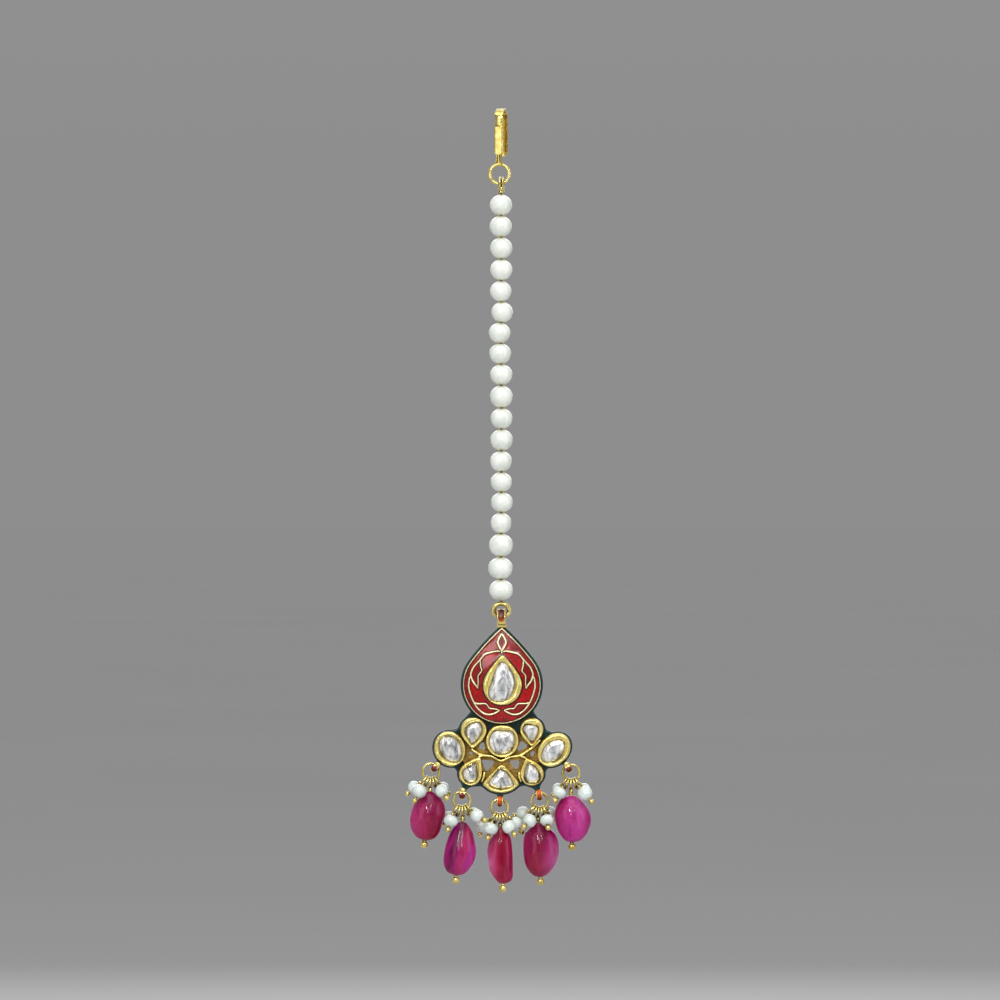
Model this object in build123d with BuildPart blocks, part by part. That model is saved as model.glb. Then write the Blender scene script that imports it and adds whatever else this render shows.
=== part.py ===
from build123d import *
from collections import namedtuple
from math import asin, atan2, cos, degrees, hypot, radians, sin, sqrt
import os

# Maang tikka: a hair hook, a string of pearls and an enamelled, stone-set pendant
# with five ruby drops.  Millimetres, +Z up, +X to the wearer's left, front towards -Y.
# The origin is the inside top of the hook's bend, where the jewel hangs.

# ---------------------------------------------------------------- hair hook
HOOK_TURN = -17.0
HOOK_BEND_RADIUS = 1.3
HOOK_STRIP_THICK = 0.5
HOOK_STRIP_WIDTH = 1.6
HOOK_FRONT_END = -7.7
HOOK_REAR_END = -7.6
HOOK_NECK_WIDTH = 1.0
HOOK_RING_X = -0.32
HOOK_RING_Z = -11.34
HOOK_RING_RADIUS = 1.76
HOOK_RING_WIRE = 0.28
HOOK_LEG = HOOK_BEND_RADIUS + HOOK_STRIP_THICK / 2
HOOK_RING_Y = -HOOK_LEG * cos(radians(HOOK_TURN))

# ---------------------------------------------------------------- string of pearls
STRING_Y = HOOK_RING_Y
THREAD_RADIUS = 0.2
TOP_LOOP_Z = -12.85
TOP_LOOP_RADIUS = 0.85
TOP_LOOP_WIRE = 0.19
TOP_LOOP_STRANDS = (-0.23, 0.23)
WRAP_RADIUS = 0.43
WRAP_HEIGHTS = (-13.8, -14.2, -14.6)
WRAP_CORE = 0.35
KNOT_RADIUS = 0.46
KNOT_HEIGHT = 0.4
HINGE_Z = -91.0
END_LOOP_WIRE = 0.43
END_LOOP_RADIUS = 1.05
END_LOOP_HALF_RUN = 0.4
END_LOOP_Z = HINGE_Z + END_LOOP_RADIUS

Pearl = namedtuple("Pearl", "width height shift")
PEARLS = (
    Pearl(4.00, 3.75, -0.05),
    Pearl(4.00, 3.75, -0.10),
    Pearl(4.00, 3.85, 0.00),
    Pearl(4.00, 3.80, 0.00),
    Pearl(3.85, 3.70, -0.10),
    Pearl(3.90, 3.65, 0.15),
    Pearl(3.90, 3.60, -0.30),
    Pearl(3.95, 3.65, -0.20),
    Pearl(4.05, 3.70, 0.00),
    Pearl(4.10, 4.00, 0.00),
    Pearl(4.00, 3.70, 0.05),
    Pearl(4.10, 3.80, 0.05),
    Pearl(4.00, 3.70, -0.05),
    Pearl(3.90, 3.55, 0.00),
    Pearl(4.00, 3.55, 0.10),
    Pearl(3.80, 3.70, -0.05),
    Pearl(4.40, 4.10, -0.05),
    Pearl(4.50, 3.95, -0.15),
    Pearl(4.40, 3.75, -0.05),
)
PEARL_TOP = -15.06
PEARL_GAP = 0.1
PEARL_DRILL = 0.3

# ---------------------------------------------------------------- pendant layers
# A depth is measured towards the viewer from the pendant's middle plane.
BAIL_DEPTH = 0.18
PENDANT_Y = STRING_Y + BAIL_DEPTH
BACK_DEPTH = -1.5
PLATE_DEPTH = -0.3
FLOOR_DEPTH = 0.5
COLLAR_DEPTH = 1.3
BORDER_DEPTH = 1.5
MAIN_COLLAR_DEPTH = 2.5
MAIN_FLOOR_DEPTH = 1.1
RIDGE_DEPTH = 1.15
FIT_GAP = 0.05

# ---------------------------------------------------------------- main plaque
PLAQUE_X = 0.1
PLAQUE_Z = -103.23
PLAQUE_RADIUS = 6.98
PLAQUE_REACH = 10.28
BORDER_WIDTH = 0.25
GREEN_RIM = 0.45
SIDE_BOW = 6.0
DOME_RADIUS = 49.0
DOME_DEPTH = 2.1
LINE_WIDTH = 0.24
LINE_RISE = 0.12

# Gold lines in the enamel, left half, from the centre of the plaque's round end.
BUD_LINE = ((0, 9.2), (-0.73, 7.6), (0, 6.2))
LEAF_LINES = (
    ((-0.85, 6.05), (-3.11, 5.42), (-5.02, 3.28), (-5.5, 1.3), (-4.32, -0.65)),
    ((-3.95, 4.45), (-3.62, 2.6), (-4.28, 1.2), (-4.32, -0.65)),
    ((-5.83, 1.26), (-5.65, -1.66), (-4.25, -4.3), (-1.98, -5.31), (-0.4, -4.55)),
    ((-5.02, -3.17), (-2.95, -3.45), (-2.0, -4.25), (-0.4, -4.55)),
)

# ---------------------------------------------------------------- stone settings
# Drops point to +Z before they are turned; an oval's length stands along Z.
Setting = namedtuple("Setting", "name shape x z size reach stone stone_reach turn stone_turn")
MAIN_SETTING = Setting("main_stone", "drop", 0.2, -103.34, 3.63, 5.78, 2.3, 4.35, 0, 0)
CLUSTER = (
    Setting("centre_stone", "round", 0.18, -113.35, 3.0, 3.0, 2.07, 2.07, 0, 0),
    Setting("upper_left_stone", "drop", -4.95, -111.46, 2.4, 3.4, 1.57, 2.5, 176, 176),
    Setting("upper_right_stone", "drop", 5.47, -111.35, 2.14, 3.08, 1.4, 2.1, 180, 180),
    Setting("left_stone", "oval", -9.25, -114.8, 2.8, 3.15, 1.92, 2.39, 20, 20),
    Setting("right_stone", "oval", 9.47, -114.98, 2.64, 3.33, 1.75, 2.5, -45, -45),
    Setting("lower_left_stone", "drop", -5.55, -119.28, 2.1, 3.67, 1.28, 2.26, -31, -24),
    Setting("lower_right_stone", "drop", 5.51, -119.25, 2.16, 3.1, 1.42, 2.2, 21, 21),
)
# The fan-shaped setting: apex, left corner, lowest point and right corner.
FAN = ((0.18, -117.27), (-3.49, -121.05), (-0.11, -122.78), (3.33, -121.05))
FAN_STONE = ((-0.05, -118.53), (-2.34, -120.83), (-0.05, -121.91), (2.25, -120.94))
FAN_CORNER = 0.6

# Ridge between the two rows of settings, the plate between them and its openings.
RIDGE_WIDTH = 0.5
RIDGE = (
    (-5.3, -114.9), (-3.4, -115.95), (-1.7, -116.12), (-0.05, -116.9),
    (1.5, -116.25), (3.2, -116.0), (5.3, -114.75), (6.9, -113.3),
)
INFILL = (
    (-4.0, -109.3), (4.3, -109.3), (6.8, -113.2), (6.9, -117.1),
    (3.2, -120.5), (-3.2, -120.5), (-6.9, -117.0), (-6.8, -113.2),
)
OPENINGS = (
    ((-3.19, -113.33), (-4.19, -114.43), (-2.77, -115.16)),
    ((3.55, -113.24), (4.84, -114.25), (2.72, -115.34)),
    ((-5.85, -115.07), (-4.84, -115.63), (-5.76, -115.9)),
    ((5.94, -114.89), (4.93, -115.9), (5.94, -116.08)),
    ((-3.65, -116.64), (-1.08, -117.0), (-2.65, -119.02)),
    ((1.26, -116.91), (3.46, -116.82), (2.72, -118.66)),
)
WEB = 0.05
CLUSTER_RIM = 0.35
# Corners of the outline that the green body behind the gold fills.
HOLLOWS = (
    ((-5.2, -107.85), (-5.75, -108.35), (-6.85, -109.6), (-4.9, -110.5), (-4.0, -109.0)),
    ((-7.55, -110.7), (-7.95, -111.15), (-8.8, -111.35), (-8.0, -113.0), (-6.8, -112.5)),
    ((-9.2, -117.9), (-8.45, -118.25), (-7.95, -118.9), (-7.65, -119.9), (-7.3, -117.4)),
    ((-5.3, -121.7), (-4.4, -121.6), (-3.6, -121.6), (-2.7, -122.1), (-3.3, -120.5)),
    ((5.4, -107.85), (5.98, -108.3), (6.9, -109.6), (5.2, -110.5), (4.3, -109.0)),
    ((7.75, -110.8), (8.0, -111.3), (8.9, -111.65), (8.3, -113.0), (7.0, -112.5)),
    ((9.2, -118.1), (8.4, -118.35), (8.0, -118.9), (7.8, -119.8), (7.4, -117.4)),
    ((2.7, -122.1), (3.4, -121.6), (4.3, -121.45), (5.2, -121.7), (3.2, -120.5)),
)

# ---------------------------------------------------------------- bail and lugs
BAIL_DROP = 0.17
BAIL_HOLE = 0.72
BAIL_RADIUS = 1.55
BAIL_WIDTH = 1.5
BAIL_NECK_WIDTH = 1.83
BAIL_SHOULDER = -92.85
BAIL_CENTRE = (0, STRING_Y, HINGE_Z - BAIL_DROP)
LUG_RADIUS = 0.98
LUG_HOLE = 0.68
LUG_WIDTH = 1.05
LUG_STEP = 1.12
LUG_DEPTH = 0.1
LUG_BAR_WIDTH = 0.8
ENAMEL_THICK = 0.1
ENAMEL_GAP = 0.02
# Where enamel strips start above the barrel's front, and their turn, in degrees.
BAIL_ARC = (75, 99)
LUG_ARC = (56, 112)
ENAMEL_MARGIN = 0.15

# ---------------------------------------------------------------- ruby drops
RING_RADIUS = 1.5
RING_WIRE = 0.22
PIN_LOOP_RADIUS = 0.85
PIN_LOOP_DROP = 0.4
PIN_WIRE = 0.15
PIN_SHAFT = 0.13
PIN_UPPER = 0.17
PIN_WRAP_RADIUS = 0.27
PIN_WRAP_START = 2.95
PIN_WRAP_PITCH = 0.27
PIN_DRILL = 0.25
END_BALL = 0.7
RUBY_DEPTH_RATIO = 0.75
SEED_BALL = 0.5

# x, z: centre of the jump ring; turn: lug's place on the ring, clockwise from its top;
# anchor_x, anchor_z: the setting that carries the lug; loop: the ruby pin's loop, in
# degrees to the right of the ring's lowest point; ball_x, ball_z: the end ball, from the
# ring's centre; top, bottom: distances of the ruby's ends from the ring's centre.
Drop = namedtuple("Drop", "x z turn anchor_x anchor_z loop ball_x ball_z top bottom wraps")
DROPS = (
    Drop(-12.65, -118.94, 43, -9.25, -114.88, -3, -1.22, -13.09, 3.5, 12.35, 1),
    Drop(-7.11, -124.02, 5, -5.55, -119.28, 5, -1.08, -14.4, 3.9, 13.6, 2),
    Drop(-0.31, -125.37, 3, -0.1, -121.0, 3, 0.63, -14.53, 3.45, 13.7, 1),
    Drop(6.91, -124.2, -4, 5.51, -119.25, -6, 0.16, -14.45, 3.8, 13.65, 2),
    Drop(12.55, -119.16, -28, 9.47, -114.98, 0, 0.18, -13.23, 4.05, 12.45, 3),
)

# Ruby sections: place along the pin from 0 (top) to 1, and how far the bead reaches to
# the left and to the right of the pin.
Section = namedtuple("Section", "place left right")
RUBY_SECTIONS = (
    (
        Section(0.00, 0.45, 0.45), Section(0.04, 0.85, 1.10), Section(0.10, 1.40, 1.95),
        Section(0.20, 2.10, 2.75), Section(0.32, 2.70, 3.15), Section(0.46, 3.00, 3.30),
        Section(0.60, 3.10, 3.05), Section(0.74, 2.90, 2.80), Section(0.86, 2.45, 2.40),
        Section(0.94, 1.85, 1.85), Section(0.98, 1.25, 1.25), Section(1.00, 0.60, 0.60),
    ),
    (
        Section(0.00, 0.45, 0.45), Section(0.04, 0.95, 1.10), Section(0.10, 1.36, 1.60),
        Section(0.20, 1.92, 2.20), Section(0.32, 2.30, 2.60), Section(0.46, 2.55, 3.00),
        Section(0.60, 2.72, 3.14), Section(0.74, 2.72, 2.85), Section(0.86, 2.45, 2.25),
        Section(0.94, 1.90, 1.60), Section(0.98, 1.30, 1.05), Section(1.00, 0.60, 0.55),
    ),
    (
        Section(0.00, 0.35, 0.35), Section(0.04, 0.45, 0.45), Section(0.10, 0.90, 1.10),
        Section(0.20, 1.85, 1.75), Section(0.32, 2.42, 1.97), Section(0.46, 2.65, 2.01),
        Section(0.60, 2.67, 2.02), Section(0.74, 2.45, 2.00), Section(0.86, 1.83, 1.94),
        Section(0.94, 1.17, 1.65), Section(0.98, 0.80, 1.15), Section(1.00, 0.50, 0.60),
    ),
    (
        Section(0.00, 0.45, 0.45), Section(0.04, 0.90, 0.95), Section(0.10, 1.60, 1.75),
        Section(0.20, 2.50, 2.75), Section(0.32, 2.85, 3.35), Section(0.46, 3.00, 3.60),
        Section(0.60, 3.00, 3.55), Section(0.74, 2.80, 3.15), Section(0.86, 2.30, 2.40),
        Section(0.94, 1.65, 1.60), Section(0.98, 1.10, 1.00), Section(1.00, 0.55, 0.50),
    ),
    (
        Section(0.00, 0.50, 0.45), Section(0.04, 1.45, 1.15), Section(0.10, 2.10, 1.85),
        Section(0.20, 2.70, 2.65), Section(0.32, 3.03, 3.25), Section(0.46, 3.10, 3.60),
        Section(0.60, 2.95, 3.58), Section(0.74, 2.60, 3.20), Section(0.86, 2.05, 2.60),
        Section(0.94, 1.50, 1.95), Section(0.98, 1.00, 1.35), Section(1.00, 0.50, 0.70),
    ),
)

# Seed pearls of each drop: loop, in degrees from the ruby pin's loop; distance in front
# of the jump ring; centre and end ball, from the ring's centre; width and height.
Seed = namedtuple("Seed", "loop depth x z ball_x ball_z width height")
SEEDS = (
    (
        Seed(-19, 2.45, -2.05, -3.33, -2.90, -5.10, 2.7, 2.6),
        Seed(-38, -1.7, -2.97, -2.88, -4.23, -4.03, 2.6, 2.4),
        Seed(19, 2.2, 1.94, -3.38, 2.81, -4.60, 2.45, 2.55),
        Seed(38, -2.0, 2.10, -3.00, 3.10, -4.10, 2.4, 2.4),
    ),
    (
        Seed(-19, 1.9, -2.00, -3.67, -2.47, -5.22, 2.75, 2.2),
        Seed(-38, -1.8, -2.20, -3.20, -3.10, -4.40, 2.4, 2.2),
        Seed(19, 2.6, 2.75, -2.75, 4.15, -3.50, 2.5, 2.6),
        Seed(38, -1.9, 2.10, -2.60, 3.10, -3.60, 2.5, 2.5),
    ),
    (
        Seed(-19, 1.7, -1.66, -3.73, -2.09, -5.30, 2.8, 2.3),
        Seed(-38, -1.7, -3.20, -3.40, -3.53, -4.90, 2.5, 2.4),
        Seed(19, 1.7, 1.71, -3.42, 2.68, -4.73, 2.6, 2.6),
        Seed(38, -1.2, 2.92, -2.88, 3.96, -4.46, 2.6, 2.5),
    ),
    (
        Seed(-19, 2.0, -1.78, -3.46, -2.84, -4.52, 2.55, 2.4),
        Seed(-38, -2.8, -3.02, -2.32, -4.50, -2.80, 2.6, 2.5),
        Seed(19, 2.0, 1.30, -3.38, 1.50, -4.68, 2.6, 2.1),
        Seed(38, -2.2, 1.80, -2.20, 2.30, -3.70, 2.5, 2.4),
    ),
    (
        Seed(-19, 2.0, -2.12, -3.50, -2.86, -4.80, 2.6, 2.15),
        Seed(-38, -1.9, -2.30, -3.00, -3.20, -4.10, 2.4, 2.2),
        Seed(19, 1.9, 2.48, -3.56, 3.67, -5.03, 2.75, 2.7),
        Seed(38, -1.9, 2.40, -3.00, 3.40, -4.10, 2.4, 2.3),
    ),
)

STONE_SIDES = 12
TABLE_SCALE = 0.62
STONE_GIRDLE = 0.45


def front(depth):
    """Sketch plane facing the viewer: x is the part's X and y its Z."""
    return Plane(origin=(0, PENDANT_Y - depth, 0), x_dir=(1, 0, 0), z_dir=(0, -1, 0))


def spot(x, z, depth=0.0):
    """Point of the pendant given by its place in the front view and its depth."""
    return Vector(x, PENDANT_Y - depth, z)


def drop_face(radius, reach, grow):
    """Teardrop with a round end, slightly bowed sides and its tip towards +Y."""
    bow = SIDE_BOW * radius
    pull = bow - radius
    lean = asin((bow**2 - pull**2 - reach**2) / (2 * reach * pull))
    side_x = pull * cos(lean)
    side_y = -pull * sin(lean)
    tip = side_y + sqrt((bow + grow) ** 2 - side_x**2)
    start = degrees(lean)
    sweep_angle = degrees(atan2(tip - side_y, side_x)) - start
    with BuildSketch(mode=Mode.PRIVATE) as face:
        with BuildLine():
            CenterArc((0, 0), radius + grow, 180 - start, 180 + 2 * start)
            CenterArc((-side_x, side_y), bow + grow, start, sweep_angle)
            CenterArc((side_x, side_y), bow + grow, 180 - start, -sweep_angle)
        make_face()
    return face.sketch


def setting_face(setting, grow, stone=False):
    """Outline of a collar, or of its stone, about the setting's own centre."""
    size = setting.stone if stone else setting.size
    reach = setting.stone_reach if stone else setting.reach
    if setting.shape == "drop":
        return drop_face(size, reach, grow)
    with BuildSketch(mode=Mode.PRIVATE) as face:
        Ellipse(size + grow, reach + grow)
    return face.sketch


def place_setting(setting, grow, stone=False):
    """Add a setting's outline, in place and turned, to the sketch being drawn."""
    turn = setting.stone_turn if stone else setting.turn
    with Locations((setting.x, setting.z)):
        add(setting_face(setting, grow, stone), rotation=turn)


def fan_face(corners, grow):
    """Fan outline: two straight sides from the apex and a bowed lower edge."""
    apex, left, lowest, right = corners
    with BuildSketch(mode=Mode.PRIVATE) as face:
        with BuildLine():
            Line(left, apex)
            Line(apex, right)
            ThreePointArc(right, lowest, left)
        make_face()
        fillet(face.vertices(), FAN_CORNER)
        if grow:
            offset(amount=grow)
    return face.sketch


def plaque_face(grow):
    """Outline of the large teardrop plaque, in place."""
    with BuildSketch(mode=Mode.PRIVATE) as face:
        with Locations((PLAQUE_X, PLAQUE_Z)):
            add(drop_face(PLAQUE_RADIUS, PLAQUE_REACH, grow))
    return face.sketch


def cluster_faces(grow):
    """Add the outlines of all the small settings to the sketch being drawn."""
    for setting in CLUSTER:
        place_setting(setting, grow)
    add(fan_face(FAN, grow))


def polygons(outlines):
    """Straight-sided faces, such as the openings between the settings."""
    with BuildSketch(mode=Mode.PRIVATE) as faces:
        for corners in outlines:
            with BuildLine():
                Polyline(*corners, close=True)
            make_face()
    return faces.sketch


def line_work(width):
    """Gold lines of the enamel, in place: a bud and two pairs of leaves."""
    with BuildSketch(mode=Mode.PRIVATE) as half:
        for points in (BUD_LINE,) + LEAF_LINES:
            with BuildLine():
                Spline(*points)
            trace(line_width=width)
        mirror(about=Plane.YZ)
    with BuildSketch(mode=Mode.PRIVATE) as lines:
        with Locations((PLAQUE_X, PLAQUE_Z)):
            add(half.sketch)
    return lines.sketch


def lug_centre(drop):
    """Centre of a lug, where it holds the jump ring of its drop."""
    turn = radians(drop.turn)
    return spot(drop.x + LUG_STEP * sin(turn), drop.z + LUG_STEP * cos(turn), LUG_DEPTH)


def lug_plane(drop):
    """Plane through a lug, square to the ring's wire."""
    turn = radians(drop.turn)
    return Plane(origin=lug_centre(drop), x_dir=(0, 1, 0), z_dir=(cos(turn), 0, -sin(turn)))


def ring_plane(drop, angle):
    """Plane that holds a pin's loop: x points away from the ring's centre."""
    way = Vector(sin(radians(angle)), 0, -cos(radians(angle)))
    reach = RING_RADIUS + PIN_LOOP_DROP
    centre = spot(drop.x, drop.z, LUG_DEPTH) + way * reach
    return Plane(origin=centre, x_dir=way, z_dir=way.cross(Vector(0, 1, 0)))


def rod(start, end, radius, mode=Mode.ADD):
    """Straight round wire between two points."""
    span = end - start
    with BuildSketch(Plane(origin=start, z_dir=span)) as section:
        Circle(radius)
    extrude(section.sketch, amount=span.length, mode=mode)


def head_pin(start, end, radius, head):
    """Straight round wire with a ball on its far end, turned in one piece."""
    span = end - start
    lathe = Plane(origin=start, z_dir=span)
    side = Plane(origin=start, x_dir=lathe.x_dir, z_dir=-lathe.y_dir)
    ball_start = span.length - sqrt(head**2 - radius**2)
    bulge = (head, span.length)
    with BuildSketch(side) as section:
        with BuildLine():
            Polyline((0, span.length + head), (0, 0), (radius, 0), (radius, ball_start))
            ThreePointArc((radius, ball_start), bulge, (0, span.length + head))
        make_face()
    revolve(section.sketch, axis=Axis(start, span))


def ring(centre, axis, radius, wire):
    """Closed ring of round wire about an axis."""
    with Locations(Plane(origin=centre, z_dir=axis).location):
        Torus(radius, wire)


def pin_loop(plane):
    """Closed loop of a pin in the given plane; the pin leaves it on the +x side."""
    far = plane.origin - plane.x_dir * PIN_LOOP_RADIUS
    with BuildSketch(Plane(origin=far, x_dir=plane.x_dir, z_dir=plane.y_dir)) as section:
        Circle(PIN_WIRE)
    revolve(section.sketch, axis=Axis(plane.origin, plane.z_dir))


def make_hair_hook():
    """Flat strip bent over at the top, with a soldered ring below its front leg."""
    turn = radians(HOOK_TURN)
    across = Plane(
        origin=(0, 0, 0), x_dir=(-sin(turn), cos(turn), 0), z_dir=(cos(turn), sin(turn), 0)
    )
    with BuildPart() as hook:
        with BuildSketch(across):
            with BuildLine():
                Line((-HOOK_LEG, HOOK_FRONT_END), (-HOOK_LEG, -HOOK_BEND_RADIUS))
                CenterArc((0, -HOOK_BEND_RADIUS), HOOK_LEG, 180, -180)
                Line((HOOK_LEG, -HOOK_BEND_RADIUS), (HOOK_LEG, HOOK_REAR_END))
            trace(line_width=HOOK_STRIP_THICK)
        extrude(amount=HOOK_STRIP_WIDTH / 2, both=True)
        rear_end = across.from_local_coords(Vector(HOOK_LEG, HOOK_REAR_END, 0))
        with BuildSketch(Plane(origin=rear_end, x_dir=across.z_dir, z_dir=across.x_dir)):
            Circle(HOOK_STRIP_WIDTH / 2)
        extrude(amount=HOOK_STRIP_THICK / 2, both=True)
        front_end = across.from_local_coords(Vector(-HOOK_LEG, HOOK_FRONT_END, 0))
        neck_end = HOOK_RING_Z + HOOK_RING_RADIUS
        neck_start = HOOK_FRONT_END - HOOK_NECK_WIDTH / 2
        for top, bottom, upper, lower in (
            (HOOK_FRONT_END, neck_start, HOOK_STRIP_WIDTH, HOOK_NECK_WIDTH),
            (neck_start, neck_end, HOOK_NECK_WIDTH, HOOK_NECK_WIDTH),
        ):
            for height, width in ((top, upper), (bottom, lower)):
                level = Plane(origin=(front_end.X, front_end.Y, height), x_dir=across.z_dir)
                with BuildSketch(level):
                    Rectangle(width, HOOK_STRIP_THICK)
            loft(ruled=True)
        centre = (HOOK_RING_X, HOOK_RING_Y, HOOK_RING_Z)
        ring(centre, (0, 1, 0), HOOK_RING_RADIUS, HOOK_RING_WIRE)
    return hook.part


def make_string_wire():
    """Wire through the pearls, looped on the hook's ring and round the pendant's bail."""
    top = TOP_LOOP_Z - TOP_LOOP_RADIUS
    bottom = END_LOOP_Z + END_LOOP_RADIUS
    facing = Plane(origin=(0, STRING_Y, 0), x_dir=(1, 0, 0), z_dir=(0, -1, 0))
    with BuildPart() as wire:
        with BuildSketch(facing) as half:
            with Locations((THREAD_RADIUS / 2, (top + bottom) / 2)):
                Rectangle(THREAD_RADIUS, top - bottom)
            with Locations((KNOT_RADIUS / 2, top)):
                Rectangle(KNOT_RADIUS, KNOT_HEIGHT)
            with Locations((WRAP_CORE / 2, (top + WRAP_HEIGHTS[-1]) / 2)):
                Rectangle(WRAP_CORE, top - WRAP_HEIGHTS[-1])
            for height in WRAP_HEIGHTS:
                with Locations((WRAP_RADIUS, height)):
                    Circle(TOP_LOOP_WIRE)
        revolve(half.sketch, axis=Axis((0, STRING_Y, 0), (0, 0, 1)))
        for strand in TOP_LOOP_STRANDS:
            ring((strand, STRING_Y, TOP_LOOP_Z), (1, 0, 0), TOP_LOOP_RADIUS, TOP_LOOP_WIRE)
        for side in (-1, 1):
            middle = Vector(side * END_LOOP_HALF_RUN, STRING_Y, END_LOOP_Z)
            low = middle - Vector(0, 0, END_LOOP_RADIUS)
            high = middle + Vector(0, 0, END_LOOP_RADIUS)
            run = Vector(-side * END_LOOP_HALF_RUN, 0, 0)
            rod(low, low + run, END_LOOP_WIRE)
            rod(high, high + run, END_LOOP_WIRE)
            with BuildSketch(Plane(origin=low, z_dir=(1, 0, 0))) as section:
                Circle(END_LOOP_WIRE)
            turn_axis = Axis(middle, (0, -side, 0))
            revolve(section.sketch, axis=turn_axis, revolution_arc=180)
    return wire.part


def bead(centre, axis, width, height, drill):
    """Slightly flattened round bead, drilled along its axis."""
    plane = Plane(origin=centre, z_dir=axis)
    side = Plane(origin=centre, x_dir=plane.x_dir, z_dir=-plane.y_dir)
    with BuildPart() as body:
        with BuildSketch(side):
            Ellipse(width / 2, height / 2)
            Rectangle(width, height, align=(Align.MAX, Align.CENTER), mode=Mode.SUBTRACT)
        revolve(axis=Axis(centre, plane.z_dir))
        rod(centre - plane.z_dir * height, centre + plane.z_dir * height, drill, Mode.SUBTRACT)
    return body.part


def make_pearls():
    """The string's pearls from the hook down, each drilled for the wire at x = 0."""
    pearls = []
    top = PEARL_TOP
    for pearl in PEARLS:
        centre = Vector(pearl.shift, STRING_Y, top - pearl.height / 2)
        side = Plane(origin=centre, x_dir=(1, 0, 0), z_dir=(0, -1, 0))
        with BuildPart() as body:
            with BuildSketch(side):
                Ellipse(pearl.width / 2, pearl.height / 2)
                Rectangle(
                    pearl.width, pearl.height, align=(Align.MAX, Align.CENTER), mode=Mode.SUBTRACT
                )
            revolve(axis=Axis(centre, (0, 0, 1)))
            above = Vector(0, STRING_Y, centre.Z + pearl.height)
            below = Vector(0, STRING_Y, centre.Z - pearl.height)
            rod(above, below, PEARL_DRILL, Mode.SUBTRACT)
        pearls.append(body.part)
        top -= pearl.height + PEARL_GAP
    return pearls


def collar(face, rise, soft_edge):
    """Gold collar standing on the plate, with a rounded outer edge on top."""
    with BuildPart() as body:
        with BuildSketch(front(PLATE_DEPTH)):
            add(face)
        extrude(amount=rise - PLATE_DEPTH)
        top = body.faces().sort_by(Axis.Y)[0]
        fillet(top.edges(), soft_edge)
    return body.part


def placed_face(setting, grow, stone=False):
    """One setting's outline in place, as a sketch of its own."""
    with BuildSketch(mode=Mode.PRIVATE) as face:
        place_setting(setting, grow, stone)
    return face.sketch


def make_line_ridges():
    """The gold lines, cut off just above the enamel's dome."""
    with BuildPart() as ridges:
        with BuildSketch(front(PLATE_DEPTH)):
            add(line_work(LINE_WIDTH))
        extrude(amount=DOME_DEPTH + LINE_RISE - PLATE_DEPTH)
        with Locations(spot(PLAQUE_X, PLAQUE_Z, DOME_DEPTH - DOME_RADIUS)):
            Sphere(DOME_RADIUS + LINE_RISE, mode=Mode.INTERSECT)
    return ridges.part


def bail_plane():
    """Plane through the bail, square to its bore."""
    return Plane(origin=BAIL_CENTRE, x_dir=(0, 1, 0), z_dir=(1, 0, 0))


def make_bail():
    """Bail above the plaque: a barrel along X on a flat neck, bored for the wire loop."""
    barrel = bail_plane()
    tip = PLAQUE_Z + PLAQUE_REACH
    with BuildPart() as bail:
        with BuildSketch(front(PLATE_DEPTH)):
            with BuildLine():
                Polyline(
                    (-BAIL_WIDTH / 2, BAIL_CENTRE[2]),
                    (BAIL_WIDTH / 2, BAIL_CENTRE[2]),
                    (BAIL_NECK_WIDTH / 2 + PLAQUE_X, BAIL_SHOULDER),
                    (PLAQUE_X, tip - BAIL_NECK_WIDTH / 2),
                    (-BAIL_NECK_WIDTH / 2 + PLAQUE_X, BAIL_SHOULDER),
                    close=True,
                )
            make_face()
        extrude(amount=FLOOR_DEPTH - PLATE_DEPTH)
        with BuildSketch(barrel):
            Circle(BAIL_RADIUS)
        extrude(amount=BAIL_WIDTH / 2, both=True)
        with BuildSketch(barrel):
            Circle(BAIL_HOLE)
        extrude(amount=BAIL_WIDTH, both=True, mode=Mode.SUBTRACT)
    return bail.part


def make_lug(drop):
    """Lug at the plate's edge: a short barrel on a bar, bored for its jump ring."""
    centre = lug_centre(drop)
    anchor = spot(drop.anchor_x, drop.anchor_z, LUG_DEPTH)
    way = (anchor - centre).normalized()
    start = centre + way * (LUG_RADIUS + LUG_HOLE) / 2
    with BuildPart() as lug:
        with BuildSketch(Plane(origin=start, x_dir=(0, 1, 0), z_dir=way)):
            Rectangle(2 * (FLOOR_DEPTH - LUG_DEPTH), LUG_BAR_WIDTH)
        extrude(amount=(anchor - start).length)
        with BuildSketch(lug_plane(drop)):
            Circle(LUG_RADIUS)
        extrude(amount=LUG_WIDTH / 2, both=True)
        with BuildSketch(lug_plane(drop)):
            Circle(LUG_HOLE)
        extrude(amount=LUG_WIDTH, both=True, mode=Mode.SUBTRACT)
    return lug.part


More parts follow.
